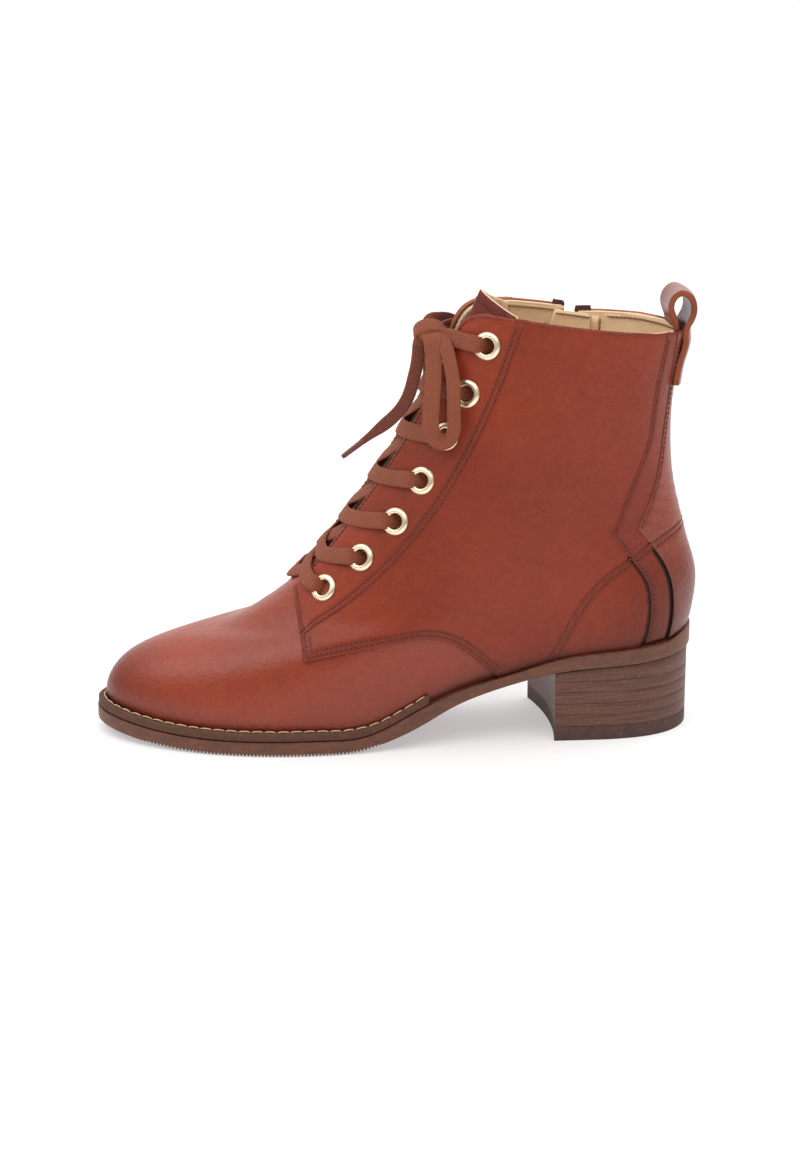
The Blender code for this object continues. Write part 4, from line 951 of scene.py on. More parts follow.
EYELET_PLACES = {word: (side * EYELETS["around"], EYELETS["level"]) for word, side in SIDES.items()}


def eyelet_holes(around, level):
    """Positive outside the holes for the eyelets."""
    point = last_surface(around, level)
    distance = np.full(len(point), 1.0)
    for places in EYELET_PLACES.values():
        for middle in last_surface(*places):
            distance = np.minimum(distance, np.linalg.norm(point - middle, axis=1))
    return distance - HOLE_RADIUS


def zip_offset(around, level):
    """Distance behind the zip's middle line."""
    x, z = side_view(around, level)
    lean = (ZIP_TOP[0] - ZIP_BOTTOM[0]) / (ZIP_TOP[1] - ZIP_BOTTOM[1])
    return x - ZIP_BOTTOM[0] - (z - ZIP_BOTTOM[1]) * lean


def zip_slit(half):
    """A field that is positive outside the slit for the zip, with a round lower end."""

    def field(around, level):
        below = np.maximum(ZIP_BOTTOM[1] - side_view(around, level)[1], 0.0)
        outside = np.hypot(zip_offset(around, level), below) - half
        return np.where(wrapped(around) > 0, outside, 1.0)

    return field


def collar_rise(around):
    """How much the collar stands above the line of the last."""
    x = side_view(around, 1.0)[0] / MM
    inner, outer = (np.interp(x, COLLAR_RISE["x"], COLLAR_RISE[side]) for side in ("inner", "outer"))
    return np.where(wrapped(around) > 0, inner, outer) * MM


def above_collar(around, level):
    """Height above the collar's edge."""
    return side_view(around, level)[1] - side_view(around, 1.0)[1] - collar_rise(around)


def under_collar(inset):
    """A field that is positive from a distance below the collar's edge down."""
    return lambda around, level: -above_collar(around, level) - inset


def locate(x, z, side):
    """The (around, level) of the last at places in the side view; side is -1 outer, 1 inner."""
    x = np.asarray(x, float)
    z = np.asarray(z, float)
    a, b = (g.ravel() for g in np.meshgrid(np.linspace(0.01, 0.99, 130), np.linspace(0.0, 1.0, 130)))
    grid = last_surface(side * a, b)
    best = [np.argmin((grid[:, 0] - p) ** 2 + (grid[:, 2] - q) ** 2) for p, q in zip(x, z)]
    around, level = side * a[best], b[best]
    for _ in range(6):
        point = last_surface(around, level)
        across, up = last_slopes(around, level)
        turn = across[:, 0] * up[:, 2] - across[:, 2] * up[:, 0]
        turn = np.where(np.abs(turn) < 1e-5, 1e-5, turn)
        dx, dz = x - point[:, 0], z - point[:, 2]
        around = around + np.clip((dx * up[:, 2] - dz * up[:, 0]) / turn, -0.02, 0.02)
        level = level + np.clip((across[:, 0] * dz - across[:, 2] * dx) / turn, -0.02, 0.02)
    return np.stack([around, level], axis=1)


def line_through(x, z, side, count=160):
    """A smooth line on the last through places of the side view."""
    run = run_of(np.column_stack([x, z]))
    places = np.linspace(0.0, run[-1], count)
    return locate(spline(run, x, places), spline(run, z, places), side)


def beside(line, distance, side):
    """A line moved over the last: a line that runs up goes back, and one that runs back goes down."""
    across, up = last_slopes(*line.T)
    along = np.gradient(last_surface(*line.T), axis=0)
    over = side * unit(np.cross(last_normal(*line.T), unit(along))) * distance
    aa, ab, bb = (across * across).sum(1), (across * up).sum(1), (up * up).sum(1)
    pa, pb = (over * across).sum(1), (over * up).sum(1)
    size = aa * bb - ab * ab
    return line + np.stack([(pa * bb - pb * ab) / size, (pb * aa - pa * ab) / size], axis=1)


def on_last(line):
    """Points of a line on the last."""
    return last_surface(*line.T)


def even_line(line, pitch):
    """A line's places at an even pitch along its length."""
    run = run_of(on_last(line))
    places = np.linspace(0.0, run[-1], max(int(run[-1] / pitch), 2) + 1)
    return read_line(line, run, places)


STITCH_PITCH = 0.0021
STITCH_LENGTH = 0.0017
THREAD_RADIUS = 0.00033
STITCH_SHAPE = table("along rise width", [
    (-1.00, -0.9, 0.55),
    (-0.78, 0.2, 0.90),
    (-0.30, 0.7, 1.00),
    (0.30, 0.7, 1.00),
    (0.78, 0.2, 0.90),
    (1.00, -0.9, 0.55),
])  # fmt: skip
STITCH_SIDES = 6
HOLE_SIZE = 0.00028
HOLE_RISE = 0.00005


def spokes(across, up, sides):
    """Directions all round, in the plane of each row's two directions."""
    angle = np.arange(sides) * 2 * math.pi / sides
    return across[:, None] * np.cos(angle)[:, None] + up[:, None] * np.sin(angle)[:, None]


def stitches(points, out, pitch_share, thread, slant=0.10):
    """Points and faces of stitches, one between each two places of a row."""
    middle = (points[1:] + points[:-1]) / 2
    up = unit(out[1:] + out[:-1])
    along = unit(points[1:] - points[:-1])
    across = np.cross(up, along)
    along = unit(along + across * slant)
    across = np.cross(up, along)
    half = np.linalg.norm(points[1:] - points[:-1], axis=1) * pitch_share / 2
    rings = []
    for reach, rise, width in zip(*STITCH_SHAPE.values()):
        centre = middle + along * (half * reach)[:, None] + up * (thread * rise)
        rings.append(centre[:, None] + spokes(across, up, STITCH_SIDES) * thread * width)
    body = np.stack(rings, axis=1)
    count, levels = body.shape[:2]
    faces = np.array(loft_faces(levels, STITCH_SIDES))
    faces = (faces[None] + np.arange(count)[:, None, None] * levels * STITCH_SIDES).reshape(-1, 4)
    return body.reshape(-1, 3), faces


def pinholes(points, out, along):
    """Points and faces of small dark spots where the needle went through: painted shade of the needle holes.
    """
    across = unit(np.cross(out, along))
    rim = points[:, None] + spokes(across, along, STITCH_SIDES) * HOLE_SIZE + out[:, None] * HOLE_RISE
    rings = np.arange(len(points) * STITCH_SIDES).reshape(-1, STITCH_SIDES)
    return rim.reshape(-1, 3), rings


def plain_finish(name, colour, roughness, metallic=0.0, scale=900.0, variation=0.25, detail=4.0, gloss=0.15):
    """A plain finish with a little unevenness in its colour and gloss."""
    material, tree, shader = new_material(name)
    grain = noise(tree, object_place(tree), scale, detail)
    feed(tree, shader, {
        "Base Color": mix_colour(tree, grain, darker(colour, 1 - variation), colour),
        "Roughness": arithmetic(tree, "MULTIPLY_ADD", grain, gloss, roughness),
        "Metallic": metallic,
    })  # fmt: skip
    return material


def thread_finish(name, colour):
    """Waxed sewing thread with a fine twist."""
    return plain_finish(name, colour, 0.5, scale=3500.0, variation=0.5, detail=2.0, gloss=0.2)


brown_thread = thread_finish("brown_thread", srgb(134, 56, 36))
tan_thread = thread_finish("tan_thread", srgb(166, 116, 80))
# Dark spots for the needle holes: painted shade
needle_hole_shade = plain_finish("needle_hole_shade", srgb(66, 25, 17), 0.83)


def joined_mesh(name, bodies, *finishes, slots=None):
    """One mesh from several bodies of points and faces; slots gives each body its finish."""
    points, faces, indices = [], [], []
    total = 0
    for number, (body, sides) in enumerate(bodies):
        points.append(body)
        faces += (np.asarray(sides) + total).tolist()
        indices += [slots[number] if slots else 0] * len(sides)
        total += len(body)
    mesh = bpy.data.meshes.new(name)
    mesh.from_pydata(np.concatenate(points).tolist(), [], faces)
    for finish in finishes:
        mesh.materials.append(finish)
    mesh.polygons.foreach_set("material_index", indices)
    return mesh


def face_normal(face, line):
    """Directions straight out of a face that lies over the last."""
    step = 1e-3
    around, level = line.T
    across = face(around + step, level) - face(around - step, level)
    up = face(around, level + step) - face(around, level - step)
    return unit(np.cross(up, across))


def add_stitching(name, rows, lift, inside=False, face=None, thread=brown_thread):
    """The stitches and needle holes of some rows as one piece; lift is the height of the leather there."""
    bodies = []
    for row in rows:
        row = even_line(row, STITCH_PITCH)
        out = last_normal(*row.T)
        height = lift(*row.T) if callable(lift) else np.full(len(row), lift)
        place = on_last(row)
        place = place + out * (height + soft_relief(place) - SEAM_PRESS)[:, None]
        if face:
            place = face(*row.T)
            out = face_normal(face, row)
        out = -out if inside else out
        bodies.append(stitches(place, out, STITCH_LENGTH / STITCH_PITCH, THREAD_RADIUS))
        bodies.append(pinholes(place, out, unit(np.gradient(place, axis=0))))
    mesh = joined_mesh(name, bodies, thread, needle_hole_shade, slots=[0, 1] * len(rows))
    return add_piece(name, mesh)


quarter_leather = leather("quarter_leather", srgb(146, 54, 28), 0.42)
raw_edge = leather("raw_edge", srgb(188, 112, 82), 0.75, bump=0.2)
DERBY_ROWS = (-0.0017, -0.0038)
EYESTAY_ROWS = (-0.0010, -0.0032)
COUNTER_ROWS = (-0.00125, 0.00125)
FACING_ROW = 0.0012
EYESTAY_FOOT = 0.0475
EYESTAY_TOP = 0.994
DERBY_ROW_END = 0.0010


def derby_lines(side):
    """The front and lower edges of a quarter, from the throat down to the corner and back to the sole."""
    lean = np.linspace(0.0, 1.0, 9)
    front_x = DERBY_TOP[0] + (DERBY_CORNER[0] - DERBY_TOP[0]) * lean
    front_z = DERBY_TOP[1] + (DERBY_CORNER[1] - DERBY_TOP[1]) * lean
    front = line_through(front_x, front_z, side)
    lower = line_through(DERBY_EDGE["x"][:-1] * MM, DERBY_EDGE["z"][:-1] * MM, side)
    return front, lower


def shortened(line, before, after):
    """A line without a length at each end."""
    run = run_of(on_last(line))
    places = np.linspace(before, run[-1] - after, len(line))
    return read_line(line, run, places)


def derby_rows(side):
    """Two rows of stitches along the front and lower edges of a quarter."""
    front, lower = derby_lines(side)
    rows = []
    on_leather = front[facing_field(*front.T) > FACING_ROW]
    below_eyestay = front[side_view(*front.T)[1] < EYESTAY_FOOT]
    for row, edge in zip(DERBY_ROWS, (on_leather, below_eyestay)):
        rows.append(shortened(beside(edge, row, side), 0.0, -row))
        rows.append(shortened(beside(lower, row, side), -row, DERBY_ROW_END))
    return rows


def eyestay_rear(side):
    """The rear edge of an eyestay, from the derby corner up to the collar."""
    inside = EYESTAY_EDGE["z"] * MM > EYESTAY_FOOT
    edge = line_through(EYESTAY_EDGE["x"][inside] * MM, EYESTAY_EDGE["z"][inside] * MM, side, 240)
    return edge[edge[:, 1] < EYESTAY_TOP]


def counter_line(side):
    """The counter seam from the sole to the back, as far as the side view shows it."""
    return line_through(COUNTER_SEAM["x"] * MM, COUNTER_SEAM["z"] * MM, side)


derby_seams = {word: derby_rows(side) for word, side in SIDES.items()}
counter_rows = {
    word: [beside(counter_line(side), row, side) for row in COUNTER_ROWS] for word, side in SIDES.items()
}
for word, side in SIDES.items():
    quarter = flat_patch(np.sort(side * crowded(*QUARTER_SPAN)), np.linspace(*QUARTER_LEVELS))
    trim(quarter, derby_front, derby_lower, quarter_rear, facing_field, eyelet_holes)
    trim(quarter, under_collar(COLLAR_INSET))
    if side > 0:
        trim(quarter, zip_slit(SLIT_HALF))
    seams = [on_last(row) for row in derby_seams[word] + counter_rows[word]]
    add_panel(
        f"quarter_{word}",
        quarter,
        QUARTER_LIFT,
        QUARTER_THICKNESS,
        [quarter_leather, raw_edge, flesh_side],
        [f"quarter_{word}"],
        seams,
    )

# Eyestays
# Lace facings along both sides of the throat, on top of the quarters: skived thin at the rear edge, where
# two rows of thread hold them, with one row along the front edge.
EYESTAY_LIFT = 0.0017
EYESTAY_THICKNESS = 0.0007
EYESTAY_SPAN = (0.02, 0.50, 110)
EYESTAY_LEVELS = (0.30, UPPER_END, 114)
EYESTAY_SHORT = 0.0002
EYESTAY_RISE = 0.0001
FACING_ROW_START = 0.003
SKIVE = 0.0030
SKIVED_EDGE = 0.00014


def eyestay_height(around, level):
    """Height of an eyestay's outer face, thinner towards its rear edge."""
    skived = smooth_step(-eyestay_line(around, level) / SKIVE)
    return QUARTER_LIFT + SKIVED_EDGE + (EYESTAY_LIFT - QUARTER_LIFT) * skived


def facing_height(around, level):
    """Height of the uppermost leather round an eyestay."""
    on_eyestay = eyestay_line(around, level) < 0
    return np.where(on_eyestay, eyestay_height(around, level), QUARTER_LIFT)


def at_aside(distance, level, side):
    """The places at a distance from the front centre line, at each level."""
    columns = np.linspace(0.002, 0.49, 240)
    around = []
    for reach, height in zip(distance, level):
        around.append(np.interp(reach, aside(side * columns, np.full(240, height)), columns))
    return np.stack([side * np.array(around), level], axis=1)


def facing_row(side):
    """The row along a facing's front edge and round its upper corner."""
    start = np.interp(DERBY_TOP[1] + FACING_ROW_START, FRONT_LINE[:, 2], FRONT_LEVELS)
    top = FRONT_RUN[-1] - np.interp(start, FRONT_LEVELS, FRONT_RUN)
    below = np.linspace(top, FACING_CORNER, 120)
    inset = np.full(120, FACING_ROW)
    angle = np.linspace(0.0, math.pi / 2, 20)[1:]
    reach = FACING_CORNER - FACING_ROW
    below = np.concatenate([below, FACING_CORNER - reach * np.sin(angle)])
    inset = np.concatenate([inset, FACING_CORNER - reach * np.cos(angle)])
    level = np.interp(FRONT_RUN[-1] + FACING_RISE - below, FRONT_RUN, FRONT_LEVELS)
    return at_aside(THROAT_HALF + inset, level, side)


eyestay_leather = leather("eyestay_leather", srgb(151, 57, 30), 0.44)
eyestay_seams = {}
for word, side in SIDES.items():
    eyestay = flat_patch(np.sort(side * crowded(*EYESTAY_SPAN)), np.linspace(*EYESTAY_LEVELS))
    trim(eyestay, shifted(derby_front, -EYESTAY_SHORT), shifted(derby_lower, -EYESTAY_SHORT))
    trim(eyestay, turned_round(eyestay_line))
    trim(eyestay, facing_field, eyelet_holes, under_collar(COLLAR_INSET - EYESTAY_RISE))
    edge = eyestay_rear(side)
    rows = [beside(edge, row, side) for row in EYESTAY_ROWS] + [facing_row(side)]
    eyestay_seams[word] = rows
    add_panel(
        f"eyestay_{word}",
        eyestay,
        eyestay_height,
        EYESTAY_THICKNESS,
        [eyestay_leather, raw_edge, flesh_side],
        [f"eyestay_{word}"],
        [on_last(row) for row in rows + derby_seams[word]],
    )
    add_stitching(f"eyestay_{word}_stitches", rows, eyestay_height)
    add_stitching(f"quarter_{word}_stitches", derby_seams[word], facing_height)

# Back bands and back piece
# A narrow band on each side between the quarter and the back piece, then the back piece round the heel and
# up to the collar. Each lies over its neighbour in front, and their edges are dyed dark. Lower down they stop
# short of each other over a dark sheet, which fills the gaps with the dye's colour as painted shade.
BAND_LIFT = 0.0018
BACK_LIFT = 0.0024
BAND_ROW = 0.0014
BAND_SPAN = (0.60, 1.0, 110)
BACK_SPAN = (0.62, 1.38, 150)
BACK_LEVELS = (0.012, UPPER_END, 154)
BAND_THICKNESS = 0.0010
BACK_THICKNESS = 0.0012
UNDERLAY_LIFT = 0.0007
UNDERLAY_THICKNESS = 0.0006
UNDERLAY_REACH = 0.003
KINK_CLEAR = 0.001
BAND_FOOT = 0.0445
BAND_TOP = 0.1715
BACK_ROW_TOP = 0.1685
BACK_JOIN = 0.985
COLLAR_ROW_END = 0.965


def kept_below_kink(around, level):
    """Positive below the kink."""
    return FRONT_KINK - KINK_CLEAR - side_view(around, level)[1]


def top_height(around, level):
    """Height of the uppermost leather at each place of the sides and the back."""
    quarter = np.where(behind_front(around, level) > 0, BAND_LIFT, QUARTER_LIFT)
    return np.where(behind_rear(around, level) > 0, BACK_LIFT, quarter)


def collar_height(around, level):
    """Height of the uppermost leather along the collar."""
    return np.maximum(top_height(around, level), facing_height(around, level))


def band_branch(edge, kink, side, low, high):
    """An edge of the band between two heights, from the lower end up."""
    z = np.linspace(low, high, 90)
    return locate(band_edge(z, edge, kink), z, side)


def below_collar(around, drop):
    """The level at a distance below the collar's edge."""
    step = 0.01
    slope = (side_view(around, 1.0)[1] - side_view(around, 1.0 - step)[1]) / step
    return 1.0 + (collar_rise(around) - drop) / slope


# The back piece's leather has a greyer tone of its own, and is lighter than the sides as painted light from
# behind
heel_leather = leather("heel_leather", srgb(150, 64, 45), 0.36, gloss=0.55)
band_leather = leather("band_leather", srgb(142, 56, 38), 0.40)
# Dark dye for the cut edges, also used as painted shade in the gaps lower down
dyed_edge_and_shade = plain_finish("dyed_edge_and_shade", srgb(58, 32, 24), 0.53)
COLLAR_ROW = 0.0013
for word, side in SIDES.items():
    grid = np.sort(side * crowded(*BAND_SPAN)), np.linspace(*BACK_LEVELS)
    band = flat_patch(*grid)
    trim(band, behind_front, band_rear, under_collar(COLLAR_INSET))
    band_rows = []
    for low, high in ((FRONT_KINK + KINK_CLEAR, BAND_TOP), (BAND_FOOT, FRONT_KINK - KINK_CLEAR)):
        branch = band_branch(BAND_FRONT, FRONT_KINK, side, low, high)
        band_rows.append(beside(branch, BAND_ROW, side))
    add_panel(
        f"back_band_{word}",
        band,
        BAND_LIFT,
        BAND_THICKNESS,
        [band_leather, dyed_edge_and_shade, flesh_side],
        [f"back_band_{word}"],
        [on_last(row) for row in band_rows + counter_rows[word]],
    )
    add_stitching(f"back_band_{word}_stitches", band_rows, BAND_LIFT)
    # A dark sheet under the gaps below the kink, in the dye's colour: painted shade in the gaps
    under = flat_patch(*grid)
    trim(under, kept_below_kink, shifted(behind_front, UNDERLAY_REACH))
    trim(under, turned_round(shifted(behind_rear, -UNDERLAY_REACH)))
    add_panel(
        f"edge_underlay_{word}",
        under,
        UNDERLAY_LIFT,
        UNDERLAY_THICKNESS,
        [dyed_edge_and_shade],
        (),
        pressed=False,
    )
back = flat_patch(crowded(*BACK_SPAN), np.linspace(*BACK_LEVELS))
trim(back, behind_rear, under_collar(COLLAR_INSET))
back_rows = {}
for word, side in SIDES.items():
    edge = band_branch(BAND_REAR, REAR_KINK, side, REAR_KINK + KINK_CLEAR, BACK_ROW_TOP)
    back_rows[word] = beside(edge, BAND_ROW, side)
back_seams = [on_last(row) for word in SIDES for row in [back_rows[word]] + counter_rows[word]]
add_panel(
    "back_piece",
    back,
    BACK_LIFT,
    BACK_THICKNESS,
    [heel_leather, dyed_edge_and_shade, flesh_side],
    ["back_counter"],
    back_seams,
)
round_back = []
for outer, inner in zip(counter_rows["outer"], counter_rows["inner"]):
    inner = inner - (2.0, 0.0)
    inner = inner[inner[:, 0] < BACK_JOIN - 2.0]
    round_back.append(np.concatenate([outer[outer[:, 0] > -BACK_JOIN], inner[::-1]]))
add_stitching("counter_stitches", round_back, top_height)
add_stitching("back_piece_stitches", list(back_rows.values()), BACK_LIFT)
collar_rows = []
for word, side in SIDES.items():
    first = eyestay_seams[word][-1][-1, 0]
    around = np.linspace(first, side * COLLAR_ROW_END, 400)
    offset = zip_offset(around, 1.0)
    for kept in (offset < -SLIT_HALF, offset > SLIT_HALF):
        if kept.sum() > 1:
            row = around[kept]
            collar_rows.append(np.stack([row, below_collar(row, COLLAR_ROW)], axis=1))
add_stitching("collar_stitches", collar_rows, collar_height)

# Lining
# Cream leather glued inside the upper and rolled over at the top edge, where a row of brown thread holds
# it. A guard flap of the same leather covers the zip on the inside, and a sewn strip lies behind it.
LINING_LIFT = -0.0002
LINING_THICKNESS = 0.0016
ROLL_RADIUS = 0.0007
ROLL_DROP = 0.0015
LINING_DROP = 0.0013
LINING_BACK = 0.0012
LINING_SPAN = (-1.0, 1.0, 180)
LINING_LEVELS = (0.02, UPPER_END, 92)
LINING_SLIT = 0.0008
ROLL_LIFT = -0.0012
ROLL_STEPS = 160
ROLL_SIDES = 8
FLAP_FRONT = -0.0128
FLAP_REAR = 0.0088
FLAP_DROP = 0.0004
FLAP_CORNER = 0.0060
FLAP_LIFT = -0.0034
FLAP_THICKNESS = 0.0010
FLAP_SPAN = (0.48, 0.78, 60)
FLAP_LEVELS = (0.17, 1.0, 70)
STRIP_FRONT = 0.0092
STRIP_REAR = 0.0122
STRIP_LIFT = -0.0017
STRIP_THICKNESS = 0.0006
STRIP_SPAN = (0.55, 0.80, 90)
STRIP_LEVELS = (0.17, 0.995, 60)
STRIP_ROW = 0.0006
STRIP_LEAN = 0.05
STRIP_ROW_LEVELS = (0.30, 0.990, 120)
LINING_ROW = 0.0030
LINING_ROW_LIFT = -0.0001
# Where the rows along the lining's edge start and end: past the zip, at the outer side, at the corner
ROW_PAST_ZIP = 0.09
ROW_OUTER_END = 1.72
ROW_CORNER = 0.02
ROW_BEFORE_ZIP = 0.01
FLAP_ROW = 0.0013
FLAP_ROW_LEVELS = (0.30, 1.0 - FLAP_CORNER * 4.2, 90)
FLAP_ROW_CORNER = 0.8
FLAP_ROW_LEVEL = 0.98


def lining_height(around, level):
    """Height of the lining's outer face, with soft folds at the back of the inner side."""
    point = last_surface(around, level)
    x, y, z = point.T
    place = x - 0.55 * (z - 0.165)
    patch = np.exp(-(((place - 0.006) / 0.0055) ** 2)) * smooth_step((z - 0.135) / 0.02)
    folds = np.sin(place * 2300) + 0.5 * np.sin(place * 3900 + 1.0)
    return LINING_LIFT - 0.00028 * np.where(y > 0, patch, 0.3 * patch) * (1.0 + folds)


def at_zip(offset, levels):
    """A line at a distance behind the zip's middle, at each level."""
    columns = np.linspace(0.45, 0.80, 240)
    around = []
    for level in levels:
        around.append(np.interp(offset, zip_offset(columns, np.full(240, level)), columns))
    return np.stack([np.array(around), levels], axis=1)


def tube(points, out, radius, sides):
    """Points and faces of a round tube along a line."""
    along = unit(np.gradient(points, axis=0))
    across = np.cross(along, out)
    body = points[:, None] + spokes(across, out, sides) * radius
    return body.reshape(-1, 3), np.array(loft_faces(len(points), sides))


lining = flat_patch(crowded(*LINING_SPAN), np.linspace(*LINING_LEVELS))
trim(lining, shifted(throat_field, -LINING_BACK), eyelet_holes, zip_slit(SLIT_HALF + LINING_SLIT))
trim(lining, under_collar(LINING_DROP))
add_panel(
    "lining", lining, lining_height, LINING_THICKNESS, [cream_lining], ["upper"], pressed=False
)
collar_corner = abs(at_aside([THROAT_HALF + FACING_CORNER], np.array([0.999]), 1)[0, 0])
zip_sides = [at_zip(offset, np.array([1.0]))[0, 0] for offset in (-SLIT_HALF, SLIT_HALF)]
rolls = []
for first, last in ((-collar_corner, zip_sides[1] - 2.0), (zip_sides[0], collar_corner)):
    around = np.linspace(first, last, ROLL_STEPS)
    level = below_collar(around, ROLL_DROP)
    middle = lifted(around, level, np.full(ROLL_STEPS, ROLL_LIFT))
    rolls.append(tube(middle, last_normal(around, level), ROLL_RADIUS, ROLL_SIDES))
add_piece("lining_roll", joined_mesh("lining_roll", rolls, cream_lining))


def flap_shape(around, level):
    """Positive inside the outline of the guard flap."""
    inset = zip_offset(around, level) - FLAP_FRONT
    below = side_view(around, 1.0)[1] - FLAP_DROP - side_view(around, level)[1]
    return np.minimum(rounded(inset, below, FLAP_CORNER), FLAP_REAR - zip_offset(around, level))


def strip_shape(around, level):
    """Positive inside the sewn strip behind the guard flap."""
    offset = zip_offset(around, level) - STRIP_LEAN * (side_view(around, level)[1] - ZIP_TOP[1])
    return np.minimum(offset - STRIP_FRONT, STRIP_REAR - offset)


flap = flat_patch(np.linspace(*FLAP_SPAN), np.linspace(*FLAP_LEVELS))
trim(flap, flap_shape)
add_panel("zip_guard", flap, FLAP_LIFT, FLAP_THICKNESS, [cream_lining], (), pressed=False)
strip = flat_patch(np.linspace(*STRIP_SPAN), np.linspace(*STRIP_LEVELS))
trim(strip, strip_shape)
add_panel("lining_strip", strip, STRIP_LIFT, STRIP_THICKNESS, [cream_lining], (), pressed=False)


def lining_face(around, level):
    """Height of the lining's inner face."""
    return lining_height(around, level) - LINING_THICKNESS + LINING_ROW_LIFT


lining_rows = []
row_ends = [(zip_sides[1] + ROW_PAST_ZIP, ROW_OUTER_END)]
row_ends.append((collar_corner + ROW_CORNER, zip_sides[0] - ROW_BEFORE_ZIP))
for first, last in row_ends:
    around = np.linspace(first, last, 200)
    lining_rows.append(np.stack([around, below_collar(around, LINING_ROW)], axis=1))
for place in (STRIP_FRONT - STRIP_ROW, STRIP_REAR + STRIP_ROW):
    lining_rows.append(at_zip(place, np.linspace(*STRIP_ROW_LEVELS)))
add_stitching("lining_stitches", lining_rows, lining_face, inside=True, thread=tan_thread)
flap_rows = [at_zip(FLAP_FRONT + FLAP_ROW, np.linspace(*FLAP_ROW_LEVELS))]
flap_ends = (FLAP_FRONT + FLAP_CORNER * FLAP_ROW_CORNER, FLAP_REAR - FLAP_ROW)
first, last = (at_zip(end, np.array([FLAP_ROW_LEVEL]))[0, 0] for end in flap_ends)
around = np.linspace(first, last, 60)
flap_drop = FLAP_DROP + FLAP_ROW + collar_rise(around)
flap_rows.append(np.stack([around, below_collar(around, flap_drop)], axis=1))
flap_face = FLAP_LIFT - FLAP_THICKNESS
add_stitching("zip_guard_stitches", flap_rows, flap_face, inside=True, thread=tan_thread)

# Tongue
# A soft flap behind the lacing, of darker leather with a cream back. It is sewn to the vamp at the throat
# and stands a little above the collar, with one row of thread along its top.
TONGUE_TOP = 0.1905
TONGUE_SLOPE = 0.40
TONGUE_ROUND = 0.0015
TONGUE_FOLD = 1.0
FOLD_FOOT = 0.165
FOLD_RUN = 0.020
TONGUE_HALF = (0.017, 0.024)
TONGUE_DEPTH = (0.0027, 0.0057)
TONGUE_LEVELS = (0.560, 1.06)
TONGUE_THICKNESS = 0.0017
TONGUE_ROW = 0.0035
TONGUE_SPAN = (-0.34, 0.34, 80)
TONGUE_ROW_SPAN = (-0.245, 0.245, 90)


def tongue_rise(level):
    """0 at the tongue's base, 1 at its top."""
    return (np.asarray(level) - TONGUE_LEVELS[0]) / (TONGUE_LEVELS[1] - TONGUE_LEVELS[0])


def tongue_height(around, level):
    """Height of the tongue's outer face, inside the upper."""
    rise = smooth_step(tongue_rise(level))
    waves = 0.0004 * np.sin(np.asarray(level) * 95 + 2 * np.asarray(around)) * rise * (1 - rise)
    return -(TONGUE_DEPTH[0] + (TONGUE_DEPTH[1] - TONGUE_DEPTH[0]) * rise) + waves


def tongue_sides(around, level):
    """Positive between the side edges of the tongue."""
    half = TONGUE_HALF[0] + (TONGUE_HALF[1] - TONGUE_HALF[0]) * tongue_rise(level)
    return half - aside(around, level)


def tongue_top(around, level):
    """Positive below the top edge of the tongue."""
    point = lifted(around, level, tongue_height(around, level))
    away = np.hypot(aside(around, level), TONGUE_ROUND) - TONGUE_ROUND
    return TONGUE_TOP - TONGUE_SLOPE * away - point[:, 2]


ridge_levels = np.linspace(*TONGUE_LEVELS, 60)
tongue_ridge = lifted(0 * ridge_levels, ridge_levels, tongue_height(0 * ridge_levels, ridge_levels))


def tongue_face(around, level):
    """Points of the tongue's outer face, its upper end folded back on both sides of the middle."""
    point = lifted(around, level, tongue_height(around, level))
    share = smooth_step((point[:, 2] - FOLD_FOOT) / FOLD_RUN)
    away = np.hypot(point[:, 1], TONGUE_ROUND) - TONGUE_ROUND
    place = np.interp(point[:, 2], tongue_ridge[:, 2], tongue_ridge[:, 0]) + TONGUE_FOLD * away
    point[:, 0] += share * (place - point[:, 0])
    return point


tongue_leather = leather("tongue_leather", srgb(116, 44, 32), 0.46)
tongue = flat_patch(np.linspace(*TONGUE_SPAN), np.linspace(*TONGUE_LEVELS, 90))
trim(tongue, tongue_sides, tongue_top)
add_panel(
    "tongue",
    tongue,
    tongue_height,
    TONGUE_THICKNESS,
    [tongue_leather, cream_lining, cream_lining],
    ["tongue"],
    pressed=False,
    face=tongue_face,
)
tongue_heights = np.linspace(0.9, TONGUE_LEVELS[1], 200)
tongue_line = []
for column in np.linspace(*TONGUE_ROW_SPAN):
    below_top = tongue_top(np.full(200, column), tongue_heights)
    tongue_line.append((column, np.interp(-TONGUE_ROW, -below_top, tongue_heights)))
add_stitching("tongue_stitches", [np.array(tongue_line)], tongue_height, face=tongue_face)

# Pull loop
# A leather strap over the back of the collar, for a finger: sewn down outside, with a free loop above, and
# tucked into the collar. Its raw edges are lighter than its faces.
LOOP_WIDTH = 0.0205
LOOP_THICKNESS = 0.0026
LOOP_EDGE = 0.0008
LOOP_SINK = 0.0006
LOOP_FOOT = 0.150
LOOP_TUCK = 0.0030
LOOP_BEND = (0.8, 1.0, 0.3)
LOOP_FREE = 0.008
LOOP_WEAR = 0.25
LOOP_WEAR_REACH = 0.006
LOOP_STEPS = 90
LOOP_ACROSS = 15
LOOP_LINE = table("behind above", [
    (3.3, 4.6),
    (4.8, 8.8),
    (5.3, 13.0),
    (3.4, 17.4),
    (-0.2, 18.9),
    (-3.5, 16.5),
    (-4.4, 12.4),
    (-3.1, 8.2),
    (-1.4, 4.6),
])  # fmt: skip
levels = np.linspace(0.5, 1.0, 200)
shaft_back = last_surface(np.ones(200), levels)
collar_back = shaft_back[-1]
legs = np.array([LOOP_FOOT, (LOOP_FOOT + collar_back[2]) / 2, collar_back[2]])
leg_x = np.interp(legs, shaft_back[:, 2], shaft_back[:, 0])
outside = np.column_stack([leg_x + BACK_LIFT + LOOP_THICKNESS / 2, legs])
